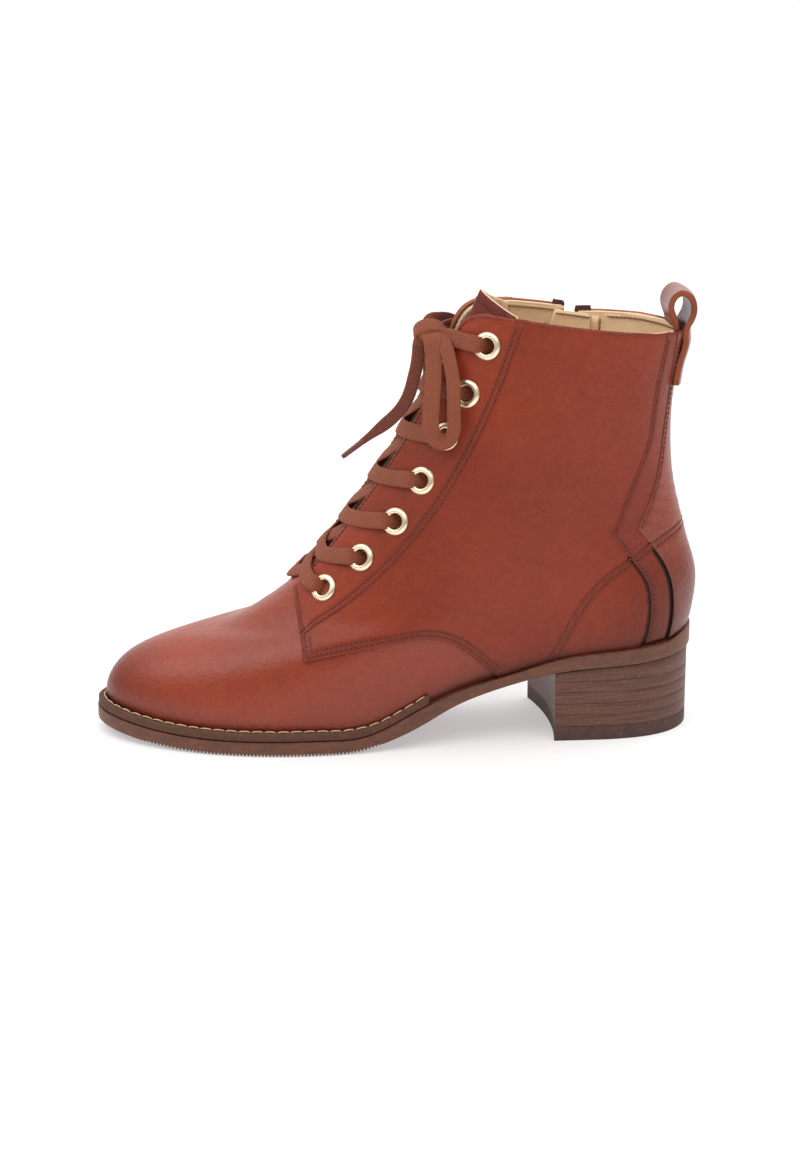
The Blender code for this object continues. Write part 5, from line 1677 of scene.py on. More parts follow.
tucked_end = collar_back[[0, 2]] + np.array([[LOOP_SINK, 0.0], [LOOP_SINK, -LOOP_TUCK]])
free = collar_back[[0, 2]] + np.column_stack([LOOP_LINE["behind"], LOOP_LINE["above"]]) * MM
line = np.concatenate([outside, free, tucked_end])
run = run_of(line)
places = np.linspace(0.0, run[-1], LOOP_STEPS)
loop_path = np.column_stack([spline(run, line[:, k], places) for k in (0, 1)])
along = np.gradient(loop_path, axis=0)
out = unit(np.column_stack([along[:, 1], -along[:, 0]]))
beside_back = last_surface([0.94], [1.0])[0]
bend = (collar_back[0] - beside_back[0]) / beside_back[1] ** 2
leg = np.where(places < run[-1] / 2, LOOP_BEND[0], LOOP_BEND[1])
loose = smooth_step((loop_path[:, 1] - collar_back[2]) / LOOP_FREE)
bow = bend * (leg + (LOOP_BEND[2] - leg) * loose)
flat_y = np.linspace(-1, 1, LOOP_ACROSS) * (LOOP_WIDTH / 2 - LOOP_EDGE)
edge_angle = np.linspace(-math.pi / 2, math.pi / 2, 6)[1:-1]
edge_y = LOOP_WIDTH / 2 - LOOP_EDGE + LOOP_EDGE * np.cos(edge_angle)
section = [(y, 1.0) for y in flat_y] + [(y, -math.sin(a)) for y, a in zip(edge_y, edge_angle)]
section += [(y, -1.0) for y in flat_y[::-1]] + [(-y, math.sin(a)) for y, a in zip(edge_y, edge_angle)]
section = np.array(section)
loop_rings = []
for place, facing, curve in zip(loop_path, out, bow):
    x = place[0] + facing[0] * section[:, 1] * LOOP_THICKNESS / 2 - curve * section[:, 0] ** 2
    z = place[1] + facing[1] * section[:, 1] * LOOP_THICKNESS / 2
    loop_rings.append(np.column_stack([x, section[:, 0], z]))
loop_leather = leather("loop_leather", srgb(140, 55, 38), 0.30, gloss=1.0)
loop_edge = leather("loop_edge", srgb(158, 84, 56), 0.8, pores=1500.0, bump=0.5)
pull_loop = loft("pull_loop", loop_rings, loop_leather, loop_edge, sharp=60)
edge_face = np.array([abs(f.center.y) for f in pull_loop.polygons])
pull_loop.polygons.foreach_set("material_index", (edge_face > flat_y[-1]).astype(np.int32))
darkening = LOOP_WEAR * np.exp(-((places - run[-1] / 2) ** 2) / LOOP_WEAR_REACH**2)
add_values(pull_loop, "burnish_and_shade", np.repeat(darkening, len(section)))
add_piece("pull_loop", pull_loop, ["pull_loop"])

# Zip
# A closed zip in a slit of the inner side: brown woven tape behind the leather, two rows of brass teeth,
# a brass slider near the top and a pull tab that hangs from its bridge.
TAPE_LIFT = -0.0004
TAPE_THICKNESS = 0.0007
TAPE_HALF = 0.0120
TAPE_ENDS = ((-0.0088, -0.0032, 0.0011), (0.0014, 0.0084, 0.0015))
TAPE_DIP = 0.0050
TAPE_FOOT = 0.004
TAPE_SPAN = (0.47, 0.78, 80)
TAPE_LEVELS = (0.13, 1.06, 160)
TOOTH_PITCH = 0.0024
TOOTH_SIZE = (0.0030, 0.0013, 0.0013)
TOOTH_OFFSET = 0.0009
TOOTH_LIFT = -0.0006
TEETH_FOOT = 0.001
SLIDER_PLACE = (-0.0200, 0.1655)
SLIDER_HALF = 0.0040
SLIDER_NECK = 0.0025
SLIDER_LENGTH = 0.0100
SLIDER_FOOT = -0.0001
SLIDER_UNDER = 0.0025
SLIDER_OUT = 0.0044
SLIDER_TAPER = 0.28
SLIDER_CROWN = 0.0006
# How far the points of the slider's rounded edge lie in from its side and down from its top
SLIDER_EDGE = ((0.0, 0.0007), (0.0002, 0.0003), (0.0007, 0.0))
BRIDGE_RADIUS = 0.0025
BRIDGE_WIDTH = 0.0020
BRIDGE_THICKNESS = 0.0009
BRIDGE_SINK = 0.16
BRIDGE_SIDES = 12
BRIDGE_SQUARE = 0.6
PIVOT_RISE = 0.0009
PIVOT_OUT = 0.0013
TAB_HALF = 0.0030
TAB_LENGTH = 0.0240
TAB_THICKNESS = 0.0011
TAB_BAR = 0.0006
TAB_HOLE_HALF = 0.0017
TAB_HOLE_END = 0.0043
TAB_SHOULDER = -0.003
TAB_WAIST = (0.8, -0.008)
TAB_ROUND = 0.0003

weave, weave_in, weave_out = new_group("woven", {"Rows": 1000.0, "Slant": 1.0}, ["Height", "Shade"])
along_value = add_node(weave, "ShaderNodeAttribute", attribute_name="along").outputs["Fac"]
across_value = add_node(weave, "ShaderNodeAttribute", attribute_name="across").outputs["Fac"]
folded = arithmetic(weave, "ABSOLUTE", across_value)
slanted = arithmetic(weave, "MULTIPLY_ADD", folded, weave_in["Slant"], along_value)
phase = arithmetic(weave, "MULTIPLY", slanted, weave_in["Rows"])
ribs = arithmetic(weave, "ABSOLUTE", arithmetic(weave, "SINE", phase))
columns_phase = arithmetic(weave, "MULTIPLY", across_value, 3100.0)
strands = arithmetic(weave, "ABSOLUTE", arithmetic(weave, "SINE", columns_phase))
woven_height = arithmetic(weave, "MULTIPLY_ADD", strands, 0.35, arithmetic(weave, "MULTIPLY", ribs, 0.65))
fuzz = noise(weave, object_place(weave), 1300.0, 3.0)
fuzzy = arithmetic(weave, "MULTIPLY_ADD", fuzz, 0.4, woven_height)
feed(weave, weave_out, {"Height": woven_height, "Shade": fuzzy})


def woven(name, colour, dark, rows, slant, roughness, bump=0.5):
    """Woven thread: ribs of yarn that meet in a herringbone, darker between them."""
    material, tree, shader = new_material(name)
    cloth = add_node(tree, "ShaderNodeGroup", {"Rows": rows, "Slant": slant}, node_tree=weave).outputs
    feed(tree, shader, {
        "Base Color": mix_colour(tree, cloth["Shade"], dark, colour),
        "Roughness": arithmetic(tree, "MULTIPLY_ADD", cloth["Shade"], -0.12, roughness + 0.06),
        "Normal": relief(tree, bump, 0.0004, cloth["Height"]),
        "Sheen Weight": 0.04,
    })  # fmt: skip
    return material


tape_weave = woven("tape_weave", srgb(92, 52, 42), srgb(40, 22, 18), 2600.0, 0.0, 0.85)
brass = plain_finish("brass", srgb(255, 238, 204), 0.23, metallic=1.0, scale=1400.0, variation=0.10)


def tape_shape(around, level):
    """Positive inside the tape: both halves up to the collar, with their ends standing above it."""
    offset = zip_offset(around, level)
    above = above_collar(around, level)
    shape = np.minimum(TAPE_HALF - np.abs(offset), -above - TAPE_DIP)
    for front, rear, height in TAPE_ENDS:
        end = np.minimum(np.minimum(offset - front, rear - offset), height - above)
        shape = np.maximum(shape, end)
    return np.minimum(shape, side_view(around, level)[1] - ZIP_BOTTOM[1] + TAPE_FOOT)


tape = flat_patch(np.linspace(*TAPE_SPAN), np.linspace(*TAPE_LEVELS))
trim(tape, tape_shape)
zip_tape = add_panel(
    "zip_tape", tape, TAPE_LIFT, TAPE_THICKNESS, [tape_weave], ["zip_tape"], pressed=False
)
tape_points = np.array([v.co[:] for v in zip_tape.data.vertices])
add_values(zip_tape.data, "along", tape_points[:, 2])
add_values(zip_tape.data, "across", tape_points[:, 0])


def boxes(centres, axes, size, round_share=0.25):
    """Points and faces of small blocks with bevelled outer edges; axes are across, along and out."""
    across, along_axis, out_axis = axes
    rings = []
    for out_share, shrink in ((-0.5, 1.0), (0.5 - round_share, 1.0), (0.5, 1 - round_share)):
        ring = []
        for a, b in ((-0.5, -0.5), (0.5, -0.5), (0.5, 0.5), (-0.5, 0.5)):
            offset = across * (a * size[0] * shrink) + along_axis * (b * size[1] * shrink)
            ring.append(centres + offset + out_axis * (out_share * size[2]))
        rings.append(np.stack(ring, axis=1))
    body = np.stack(rings, axis=1)
    faces = loft_faces(3, 4) + [[8, 9, 10, 11]]
    faces = (np.array(faces)[None] + np.arange(len(centres))[:, None, None] * 12).reshape(-1, 4)
    return body.reshape(-1, 3), faces


zip_levels = np.linspace(0.19, 0.992, 400)
tooth_bodies = []
for offset, start in ((-TOOTH_OFFSET, 0.0), (TOOTH_OFFSET, 0.5)):
    row = at_zip(offset, zip_levels)
    row = row[side_view(*row.T)[1] > ZIP_BOTTOM[1] + TEETH_FOOT]
    run = run_of(on_last(row))
    row = read_line(row, run, np.arange(start * TOOTH_PITCH, run[-1], TOOTH_PITCH))
    out = last_normal(*row.T)
    along = unit(np.gradient(on_last(row), axis=0))
    across = unit(np.cross(along, out))
    centres = on_last(row) + out * TOOTH_LIFT
    tooth_bodies.append(boxes(centres, (across, along, out), TOOTH_SIZE))
teeth = add_piece("zip_teeth", joined_mesh("zip_teeth", tooth_bodies, brass), ["zip_teeth"])
teeth.data.shade_flat()

slider_spot = locate([SLIDER_PLACE[0]], [SLIDER_PLACE[1]], 1)
slider_out = Vector(last_normal(*slider_spot.T)[0])
slider_up = Vector((ZIP_TOP[0] - ZIP_BOTTOM[0], 0.0, ZIP_TOP[1] - ZIP_BOTTOM[1]))
slider_up = (slider_up - slider_out * slider_up.dot(slider_out)).normalized()
slider_turn = Matrix((slider_up.cross(slider_out), slider_up, slider_out)).transposed().to_4x4()
slider_frame = Matrix.Translation(Vector(on_last(slider_spot)[0])) @ slider_turn
half_length = SLIDER_LENGTH / 2
outline_y = np.linspace(-half_length, half_length, 25)
taper = 1.0 - SLIDER_TAPER * smooth_step((-outline_y / half_length - 0.1) / 0.9)
slider_rings = []
for y, share in zip(outline_y, taper):
    wide = SLIDER_HALF * share
    rise = SLIDER_OUT - SLIDER_CROWN * (y / half_length) ** 4
    right = [(SLIDER_NECK, SLIDER_FOOT), (SLIDER_NECK, SLIDER_UNDER), (wide, SLIDER_UNDER)]
    right += [(wide - inset, rise - drop) for inset, drop in SLIDER_EDGE]
    left = [(-x, z) for x, z in right[::-1]]
    profile = left[-1:] + right + left[:-1]
    slider_rings.append([slider_frame @ Vector((x, y, z)) for x, z in profile])
add_piece("zip_slider", loft("zip_slider", slider_rings, brass, sharp=35), ["zip_slider"])
bridge_angle = np.arange(BRIDGE_SIDES) * 2 * math.pi / BRIDGE_SIDES
bridge_wide, bridge_thick = (
    np.sign(share) * np.abs(share) ** BRIDGE_SQUARE for share in (np.cos(bridge_angle), np.sin(bridge_angle))
)
bridge_rings = []
for a in np.linspace(-BRIDGE_SINK * math.pi, (1 + BRIDGE_SINK) * math.pi, 33):
    reach = BRIDGE_RADIUS + BRIDGE_THICKNESS / 2 * bridge_thick
    y = PIVOT_RISE + reach * math.cos(a)
    z = SLIDER_OUT + PIVOT_OUT + reach * math.sin(a)
    ring = np.column_stack([BRIDGE_WIDTH / 2 * bridge_wide, y, z])
    bridge_rings.append([slider_frame @ Vector(point) for point in ring])
add_piece("zip_bridge", loft("zip_bridge", bridge_rings, brass))

tab_frame = slider_frame @ Matrix.Translation((0.0, PIVOT_RISE, SLIDER_OUT + PIVOT_OUT))
tab_angle = np.linspace(math.pi, 2 * math.pi, 20)
tab_end = TAB_HALF - TAB_LENGTH
tab_outline = [(TAB_HALF * math.cos(a), tab_end + TAB_HALF * math.sin(a)) for a in tab_angle]
tab_side = [(TAB_HALF * TAB_WAIST[0], TAB_WAIST[1]), (TAB_HALF, TAB_SHOULDER), (TAB_HALF, TAB_BAR)]
tab_outline += tab_side + [(-x, y) for x, y in tab_side[::-1]]
hole_outline = [
    (TAB_HOLE_HALF * math.cos(a), TAB_HOLE_HALF - TAB_HOLE_END + TAB_HOLE_HALF * math.sin(a))
    for a in np.linspace(math.pi, 2 * math.pi, 10)
]
hole_outline += [(TAB_HOLE_HALF, -TAB_BAR), (-TAB_HOLE_HALF, -TAB_BAR)]
bm = bmesh.new()
tab_edges = []
for outline in (tab_outline, hole_outline):
    verts = [bm.verts.new(tab_frame @ Vector((x, y, 0.0))) for x, y in outline]
    tab_edges += [bm.edges.new((a, b)) for a, b in zip(verts, verts[1:] + verts[:1])]
bmesh.ops.triangle_fill(bm, edges=tab_edges, use_beauty=True)
bmesh.ops.recalc_face_normals(bm, faces=bm.faces)
tab_mesh = bpy.data.meshes.new("zip_pull")
bm.to_mesh(tab_mesh)
bm.free()
tab_mesh.materials.append(brass)
pull_tab = add_piece("zip_pull", tab_mesh, ["zip_pull"], body="pull_tab")
tab_wall = pull_tab.modifiers.new("thickness", "SOLIDIFY")
tab_wall.thickness = TAB_THICKNESS
tab_wall.offset = 0.0
tab_bevel = pull_tab.modifiers.new("edges", "BEVEL")
tab_bevel.width = TAB_ROUND
tab_bevel.segments = 2

# Eyelets
# Fourteen pale gold brass rings, each turned over the leather of the eyestay with a domed flange outside
# and a short barrel through the hole.
EYELET_PROFILE = table("radius height", [
    (3.7, -3.0),
    (3.3, -3.0),
    (3.3, 0.40),
    (3.4, 0.85),
    (3.7, 1.15),
    (4.2, 1.32),
    (4.8, 1.24),
    (5.4, 0.88),
    (5.8, 0.45),
    (6.0, 0.05),
    (5.5, -0.10),
])  # fmt: skip
EYELET_SIDES = 40
eyelet_bodies = []
for places in EYELET_PLACES.values():
    out = last_normal(*places)
    centre = last_surface(*places) + out * EYESTAY_LIFT
    across = unit(np.cross(out, (0.0, 0.0, 1.0)))
    up = np.cross(out, across)
    for i, spoke in enumerate(spokes(across, up, EYELET_SIDES)):
        rings = [
            centre[i] + spoke * radius * MM + out[i] * height * MM
            for radius, height in zip(*EYELET_PROFILE.values())
        ]
        eyelet_bodies.append((np.concatenate(rings), np.array(loft_faces(len(rings), EYELET_SIDES))[:, ::-1]))
eyelet_names = [f"eyelet_{word}_{i + 1}" for word in SIDES for i in range(EYELET_COUNT)]
add_piece("eyelets", joined_mesh("eyelets", eyelet_bodies, brass), eyelet_names)

# Outsole
# A moulded sole in one piece, brown at its edge: sprung at the toe, arched under the waist and
# flat under the heel, with fine ribs across the tread.
SOLE_SECTIONS = 1500
TIP_TURN = 0.0015
RIB_PITCH = 0.0015
RIB_DEPTH = 0.0010
RIB_HEIGHT = 0.0016
RIB_ENDS = (-0.208, -0.104)
RIB_FADE = 0.006
EDGE_PROFILE = table("inset height", [
    (1.0, 0.00),
    (0.5, 0.12),
    (0.15, 0.45),
    (0.0, 1.00),
    (0.0, 3.00),
    (0.02, 5.40),
    (0.06, 5.90),
    (0.20, 6.10),
    (1.0, 6.20),
])  # fmt: skip
EDGE_HEIGHT = EDGE_PROFILE["height"][-1]
WAIST_DROP = 0.0018
WAIST_PLACE = -0.053
WAIST_REACH = 0.022
HEEL_LIP = 0.0026
LIP_START = 0.016
LIP_RUN = 0.012
LIP_WIDTH = 0.0022
STREAK_RANGE = (0.32, 0.68)
SPECK_RANGE = (0.62, 0.72)
SPECK_SHARE = 0.5


def sole_outline(side, share, inset=0.0):
    """Points of the sole's edge; share runs from the heel back (0) to the toe tip (1)."""
    share = np.atleast_1d(np.asarray(share, float))
    around = side * (1 - np.arccos(1 - 2 * share) / math.pi)
    point = last_surface(around, 0.0 * share)
    step = 1e-3
    along = last_surface(around + step, 0.0 * share) - last_surface(around - step, 0.0 * share)
    out = unit(np.stack([-along[:, 1], along[:, 0]], axis=1))
    ledge = spline(STATIONS, LEDGE * PERCENT * BALL_WIDTH, share) - inset
    return point[:, :2] + out * ledge[:, None]


def edge_finish(name, colour, dark, roughness, stretch, bump):
    """A sanded and waxed edge: streaks along it, with pale specks."""
    material, tree, shader = new_material(name)
    place = object_place(tree)
    stretched = add_node(tree, "ShaderNodeMapping", {"Vector": place, "Scale": stretch})
    streaks = noise(tree, stretched.outputs["Vector"], 1.0, 5.0)
    specks = noise(tree, place, 1100.0, 2.0)
    spread, pale = (
        add_node(tree, "ShaderNodeMapRange", {"Value": value, "From Min": low, "From Max": high}).outputs[0]
        for value, (low, high) in ((streaks, STREAK_RANGE), (specks, SPECK_RANGE))
    )
    streaked = mix_colour(tree, spread, dark, colour)
    light = [min(c * 1.8 + 0.03, 1.0) for c in colour[:3]] + [1.0]
    feed(tree, shader, {
        "Base Color": mix_colour(tree, arithmetic(tree, "MULTIPLY", pale, SPECK_SHARE), streaked, light),
        "Roughness": arithmetic(tree, "MULTIPLY_ADD", streaks, 0.3, roughness - 0.15),
        "Normal": relief(tree, bump, 0.0004, streaks),
    })  # fmt: skip
    return material


sole_edge = edge_finish("sole_edge", srgb(113, 66, 44), srgb(90, 51, 35), 0.5, (160.0, 160.0, 500.0), 0.20)
turn = np.linspace(TIP_TURN, math.pi - TIP_TURN, SOLE_SECTIONS)
sole_share = (1 - np.cos(turn)) / 2


def sole_rim(x, lip):
    """Height of the edge's upper rim: lower along the waist, with a lip that stands up at the heel back."""
    waist = WAIST_DROP * np.exp(-(((x - WAIST_PLACE) / WAIST_REACH) ** 2))
    return sole_top(x) - waist + lip * smooth_step((x - LIP_START) / LIP_RUN)


def edge_columns(side):
    """The sole's edge on one side, from the tread up and over the rim to the seat."""
    columns = []
    for inset, height in zip(*EDGE_PROFILE.values()):
        edge = sole_outline(side, sole_share, inset * MM)
        under = sole_under(edge[:, 0])
        rise = (sole_rim(edge[:, 0], HEEL_LIP) - under) * height / EDGE_HEIGHT
        columns.append(np.column_stack([edge, under + rise]))
    seat = sole_outline(side, sole_share, LIP_WIDTH)
    columns.append(np.column_stack([seat, sole_rim(seat[:, 0], 0.0)]))
    return columns


sole_columns = edge_columns(-1) + edge_columns(1)[::-1]
near_edge, far_edge = sole_columns[0], sole_columns[-1]
for part in np.linspace(0, 1, 8)[1:-1]:
    across_row = far_edge * (1 - part) + near_edge * part
    across_row[:, 2] = sole_under(across_row[:, 0])
    sole_columns.append(across_row)
sole_rings = np.stack(sole_columns, axis=1)
rib = np.sin(sole_rings[:, :, 0] * 2 * math.pi / RIB_PITCH)
fade = smooth_step((sole_rings[:, :, 0] - RIB_ENDS[0]) / RIB_FADE)
fade = fade * smooth_step((RIB_ENDS[1] - sole_rings[:, :, 0]) / RIB_FADE)
tread = sole_under(sole_rings[:, :, 0].ravel()).reshape(rib.shape)
low = np.clip(1 - (sole_rings[:, :, 2] - tread) / RIB_HEIGHT, 0, 1)
sole_rings[:, :, 2] += RIB_DEPTH * fade * low * smooth_step(rib * 1.5 + 0.5)
add_piece("outsole", loft("outsole", sole_rings, sole_edge, sharp=35), ["outsole"])

# Welt
# A dark leather strip on the sole's ledge round the forefoot, sewn through to the sole with long stitches
# of cream thread. It ends at the waist on both sides, where it stands up a little.
WELT_HEIGHT = 0.0036
WELT_LEVEL = 0.045
WELT_END = 0.456
WELT_SECTIONS = 260
WELT_INSET = 0.0004
WELT_CLEAR = 0.0006
WELT_ROW = 0.34
WELT_PITCH = 0.0054
WELT_THREAD = 0.00032
WELT_STITCH = 0.9
WELT_ROW_END = 0.0015
WELT_RIM = 0.0008
WELT_DIP = 0.0002
WELT_CROWN = 0.0001
CROWN_SHARE = 0.25
WELT_WEAR = 0.00012
END_RISE = 0.0007
END_RUN = 0.02
ROW_LIFT = 0.00015
# The welt's outer side below its rim: inset from WELT_INSET and height over the sole, in millimetres
WELT_SIDE = table("inset height", [
    (0.3, 3.3),
    (0.0, 2.8),
    (0.0, 0.5),
    (0.1, 0.2),
    (0.5, 0.0),
])  # fmt: skip
welt_edge = edge_finish("welt_edge", srgb(100, 60, 42), srgb(76, 44, 31), 0.75, (240.0, 240.0, 700.0), 0.6)
first = 1 - math.acos(1 - 2 * WELT_END) / math.pi
welt_around = np.linspace(-first, first, WELT_SECTIONS)
welt_share = (1 - np.cos(math.pi * (1 - np.abs(welt_around)))) / 2


def welt_outline(inset):
    """The welt's plan, at a distance inside the sole's edge."""
    both = [sole_outline(side, welt_share, inset) for side in (-1, 1)]
    return np.where(welt_around[:, None] < 0, both[0], both[1])


clear = np.full(WELT_SECTIONS, WELT_CLEAR)
welt_foot = lifted(welt_around, 0 * welt_around, clear)
welt_inner = lifted(welt_around, 0 * welt_around + WELT_LEVEL, clear)
welt_rim = welt_outline(WELT_INSET + WELT_RIM)
wear = WELT_WEAR * np.sin(welt_around * 170) * np.sin(welt_around * 61 + 1)
end_rise = END_RISE * smooth_step((np.abs(welt_around) - first + END_RUN) / END_RUN)
row_place = welt_inner[:, :2] * (1 - WELT_ROW) + welt_rim * WELT_ROW
crown_place = welt_inner[:, :2] * (1 - CROWN_SHARE) + welt_rim * CROWN_SHARE
welt_columns = [
    raised(welt_foot, 0.0),
    raised(welt_inner, WELT_HEIGHT - WELT_DIP),
    raised(crown_place, WELT_HEIGHT + WELT_CROWN),
    raised(row_place, WELT_HEIGHT - WELT_DIP),
    raised(welt_rim, WELT_HEIGHT),
]
for inset, height in zip(*WELT_SIDE.values()):
    welt_columns.append(raised(welt_outline(WELT_INSET + inset * MM), height * MM))
welt_rings = np.stack(welt_columns, axis=1)
welt_rings[:, 1:8, 2] += (wear + end_rise)[:, None]
add_piece("welt", loft("welt", welt_rings, welt_edge, sharp=50), ["welt"])
cream_thread = thread_finish("cream_thread", srgb(240, 212, 174))
row_points = np.column_stack([row_place, welt_rings[:, 3, 2] + ROW_LIFT])
run = run_of(row_points)
stops = np.linspace(WELT_ROW_END, run[-1] - WELT_ROW_END, int(run[-1] / WELT_PITCH))
row_points = read_line(row_points, run, stops)
row_up = np.tile((0.0, 0.0, 1.0), (len(row_points), 1))
welt_stitches = stitches(row_points, row_up, WELT_STITCH, WELT_THREAD, slant=0.04)
add_piece("welt_stitches", joined_mesh("welt_stitches", [welt_stitches], cream_thread))

# Heel
# Five lifts of leather board glued in a stack, sanded flush and waxed, with a wedge at the top under the
# sloping seat. A dark rubber top piece is nailed on below.
HEEL_SIDE = 42
BREAST_OUTER = -0.0318
BREAST_INNER = -0.0358
BREAST_HOLLOW = 0.0031
BREAST_POINTS = 24
SEAT_INSET = 0.0010
FLOOR_INSET = 0.0011
TOP_PIECE = 0.0060
LIFT = 0.0051
LIFTS = 5
LIFT_ROUND = 0.00022
HEEL_SHARE = 0.35


def heel_outline(height, inset=0.0):
    """Outline of the heel at a height: both sides, the round back and the hollow breast."""
    inset = inset + FLOOR_INSET + (SEAT_INSET - FLOOR_INSET) * height / HEEL_HEIGHT
    points = []
    for side, breast in ((-1, BREAST_OUTER), (1, BREAST_INNER)):
        share = np.linspace(0.0, HEEL_SHARE, 200)
        edge = sole_outline(side, share, inset)
        end = np.interp(-breast, -edge[:, 0], share)
        angle = np.linspace(0.0, math.acos(1 - 2 * end), HEEL_SIDE)
        run = sole_outline(side, (1 - np.cos(angle)) / 2, inset)
        points.append(run[::-1] if side < 0 else run[1:])
    near, far = points[0][0], points[1][-1]
    share = np.linspace(0, 1, BREAST_POINTS + 2)[1:-1, None]
    hollow = np.array([[BREAST_HOLLOW, 0.0]])
    breast = far + (near - far) * share + hollow * 4 * share * (1 - share)
    return np.concatenate([points[0], points[1], breast])


stack_edge = edge_finish("stack_edge", srgb(116, 72, 56), srgb(76, 44, 34), 0.5, (60.0, 60.0, 1900.0), 0.5)
heel_rubber = edge_finish("heel_rubber", srgb(88, 59, 51), srgb(69, 45, 39), 0.7, (300.0, 300.0, 300.0), 0.15)
bottom = 0.0
for number in range(LIFTS + 1):
    name = f"heel_lift_{number}" if number else "heel_top_piece"
    top = TOP_PIECE + number * LIFT
    high = heel_outline(min(top, HEEL_HEIGHT))
    ceiling = np.full(len(high), top + GAP)
    if number == LIFTS:
        ceiling = sole_under(high[:, 0]) - GAP
    base = heel_outline(bottom)
    floor_z = np.full(len(base), bottom)
    rings = [
        np.column_stack([heel_outline(bottom, LIFT_ROUND), floor_z]),
        np.column_stack([base, floor_z + LIFT_ROUND]),
        np.column_stack([(base + high) / 2, (floor_z + ceiling) / 2]),
        np.column_stack([high, ceiling - LIFT_ROUND]),
        np.column_stack([heel_outline(min(top, HEEL_HEIGHT), LIFT_ROUND), ceiling]),
    ]
    finish, slot = (stack_edge, "heel_stack") if number else (heel_rubber, "heel_rubber")
    add_piece(name, loft(name, rings, finish, sharp=50), [name])
    bottom = top + GAP

# Lacing
# One flat woven lace: it comes up through an eyelet, runs over the facing, crosses its other strand above
# the tongue and goes under the far facing to the next eyelet up.
LACE_WIDTH = 0.0070
LACE_THICKNESS = 0.0014
LACE_SIDES = 16
LACE_ROUND = (0.45, 0.75)
STRAND_STEPS = 96
STRAND_STEP = 0.0008
BLUR = 5
# Height of a strand's middle over the upper and its width, at a reach from the eyelet it comes out of
STRAND_START = table("reach height width", [
    (0.0, -5.0, 0.82),
    (0.9, -2.6, 0.84),
    (1.7, 0.4, 0.88),
    (2.5, 3.2, 0.96),
    (3.3, 4.2, 1.00),
    (6.8, 4.1, 1.00),
    (9.2, 3.2, 1.00),
])  # fmt: skip
# The same at a reach before the eyelet that it goes to
STRAND_END = table("reach height width", [
    (11.0, -1.2, 1.00),
    (8.5, -2.6, 1.00),
    (4.5, -3.6, 0.95),
    (3.0, -3.8, 0.90),
])  # fmt: skip
CROSSING_HEIGHT = 0.5
CROSSING_REACH = 0.14
# Where along its way a strand begins to climb to the next eyelet, how long it does, and how straight it runs
OUTER_CLIMB = table("start run straight", [
    (0.00, 0.56, 0.8),
    (0.28, 0.62, 0.5),
    (0.60, 0.38, 0.0),
    (0.62, 0.36, 0.0),
    (0.62, 0.36, 0.0),
    (0.62, 0.36, 0.0),
])  # fmt: skip
INNER_CLIMB = (0.20, 0.60, 0.3)
lace_weave = woven("lace_weave", srgb(154, 79, 48), srgb(60, 26, 16), 2900.0, 1.0, 0.85, bump=1.0)


def lace_section():
    """Across and out shares of a flat lace with rounded edges."""
    angle = np.arange(LACE_SIDES) * 2 * math.pi / LACE_SIDES
    across = np.sign(np.cos(angle)) * np.abs(np.cos(angle)) ** LACE_ROUND[0]
    out = np.sign(np.sin(angle)) * np.abs(np.sin(angle)) ** LACE_ROUND[1]
    return across, out


def lace_band(path, faces, width):
    """Points, faces and weave values of a flat lace along a path, its broad side turned to faces."""
    along = unit(np.gradient(path, axis=0))
    across = unit(np.cross(along, faces))
    out = np.cross(across, along)
    wide, thick = lace_section()
    width = np.broadcast_to(width, len(path))
    body = path[:, None] + across[:, None] * (wide[None, :, None] * width[:, None, None] / 2)
    body = body + out[:, None] * (thick[None, :, None] * LACE_THICKNESS / 2)
    sides = np.array(loft_faces(len(path), LACE_SIDES))
    run = run_of(path)
    along_values = np.repeat(run, LACE_SIDES)
    across_values = (wide[None] * width[:, None] / 2).ravel()
    return body.reshape(-1, 3), sides, along_values, across_values


def add_lace(name, bands, replaced, finish=lace_weave):
    """Strands of lace as one piece, with the values for their weave."""
    mesh = joined_mesh(name, [band[:2] for band in bands], finish)
    close_up(mesh, LACE_SIDES)
    add_values(mesh, "along", np.concatenate([band[2] for band in bands]))
    add_values(mesh, "across", np.concatenate([band[3] for band in bands]))
    piece = add_piece(name, mesh, replaced)
    mesh.set_sharp_from_angle(angle=math.radians(60))
    return piece


def strand(start, end, raise_by, climb):
    """A strand between two eyelets, given as (around, level) places."""
    part = np.linspace(0.0, 1.0, STRAND_STEPS)
    around = start[0] + (end[0] - start[0]) * part
    ramp = np.clip((part - climb[0]) / climb[1], 0.0, 1.0)
    level = start[1] + (end[1] - start[1]) * (smooth_step(ramp) * (1 - climb[2]) + ramp * climb[2])
    run = run_of(last_surface(around, level)) / MM
    kept = run < run[-1] - STRAND_END["reach"][-1]
    knots = np.concatenate([STRAND_START["reach"], [run[-1] / 2], run[-1] - STRAND_END["reach"]])
    heights = np.concatenate([STRAND_START["height"], [CROSSING_HEIGHT], STRAND_END["height"]])
    widths = np.concatenate([STRAND_START["width"], [1.0], STRAND_END["width"]])
    height = np.pad(np.interp(run, knots, heights) * MM, BLUR // 2, mode="edge")
    height = np.convolve(height, np.ones(BLUR) / BLUR, mode="valid")
    height = height + raise_by * np.exp(-(((part - 0.5) / CROSSING_REACH) ** 2))
    width = np.interp(run, knots, widths) * LACE_WIDTH
    around, level = around[kept], level[kept]
    return lace_band(lifted(around, level, height[kept]), last_normal(around, level), width[kept])


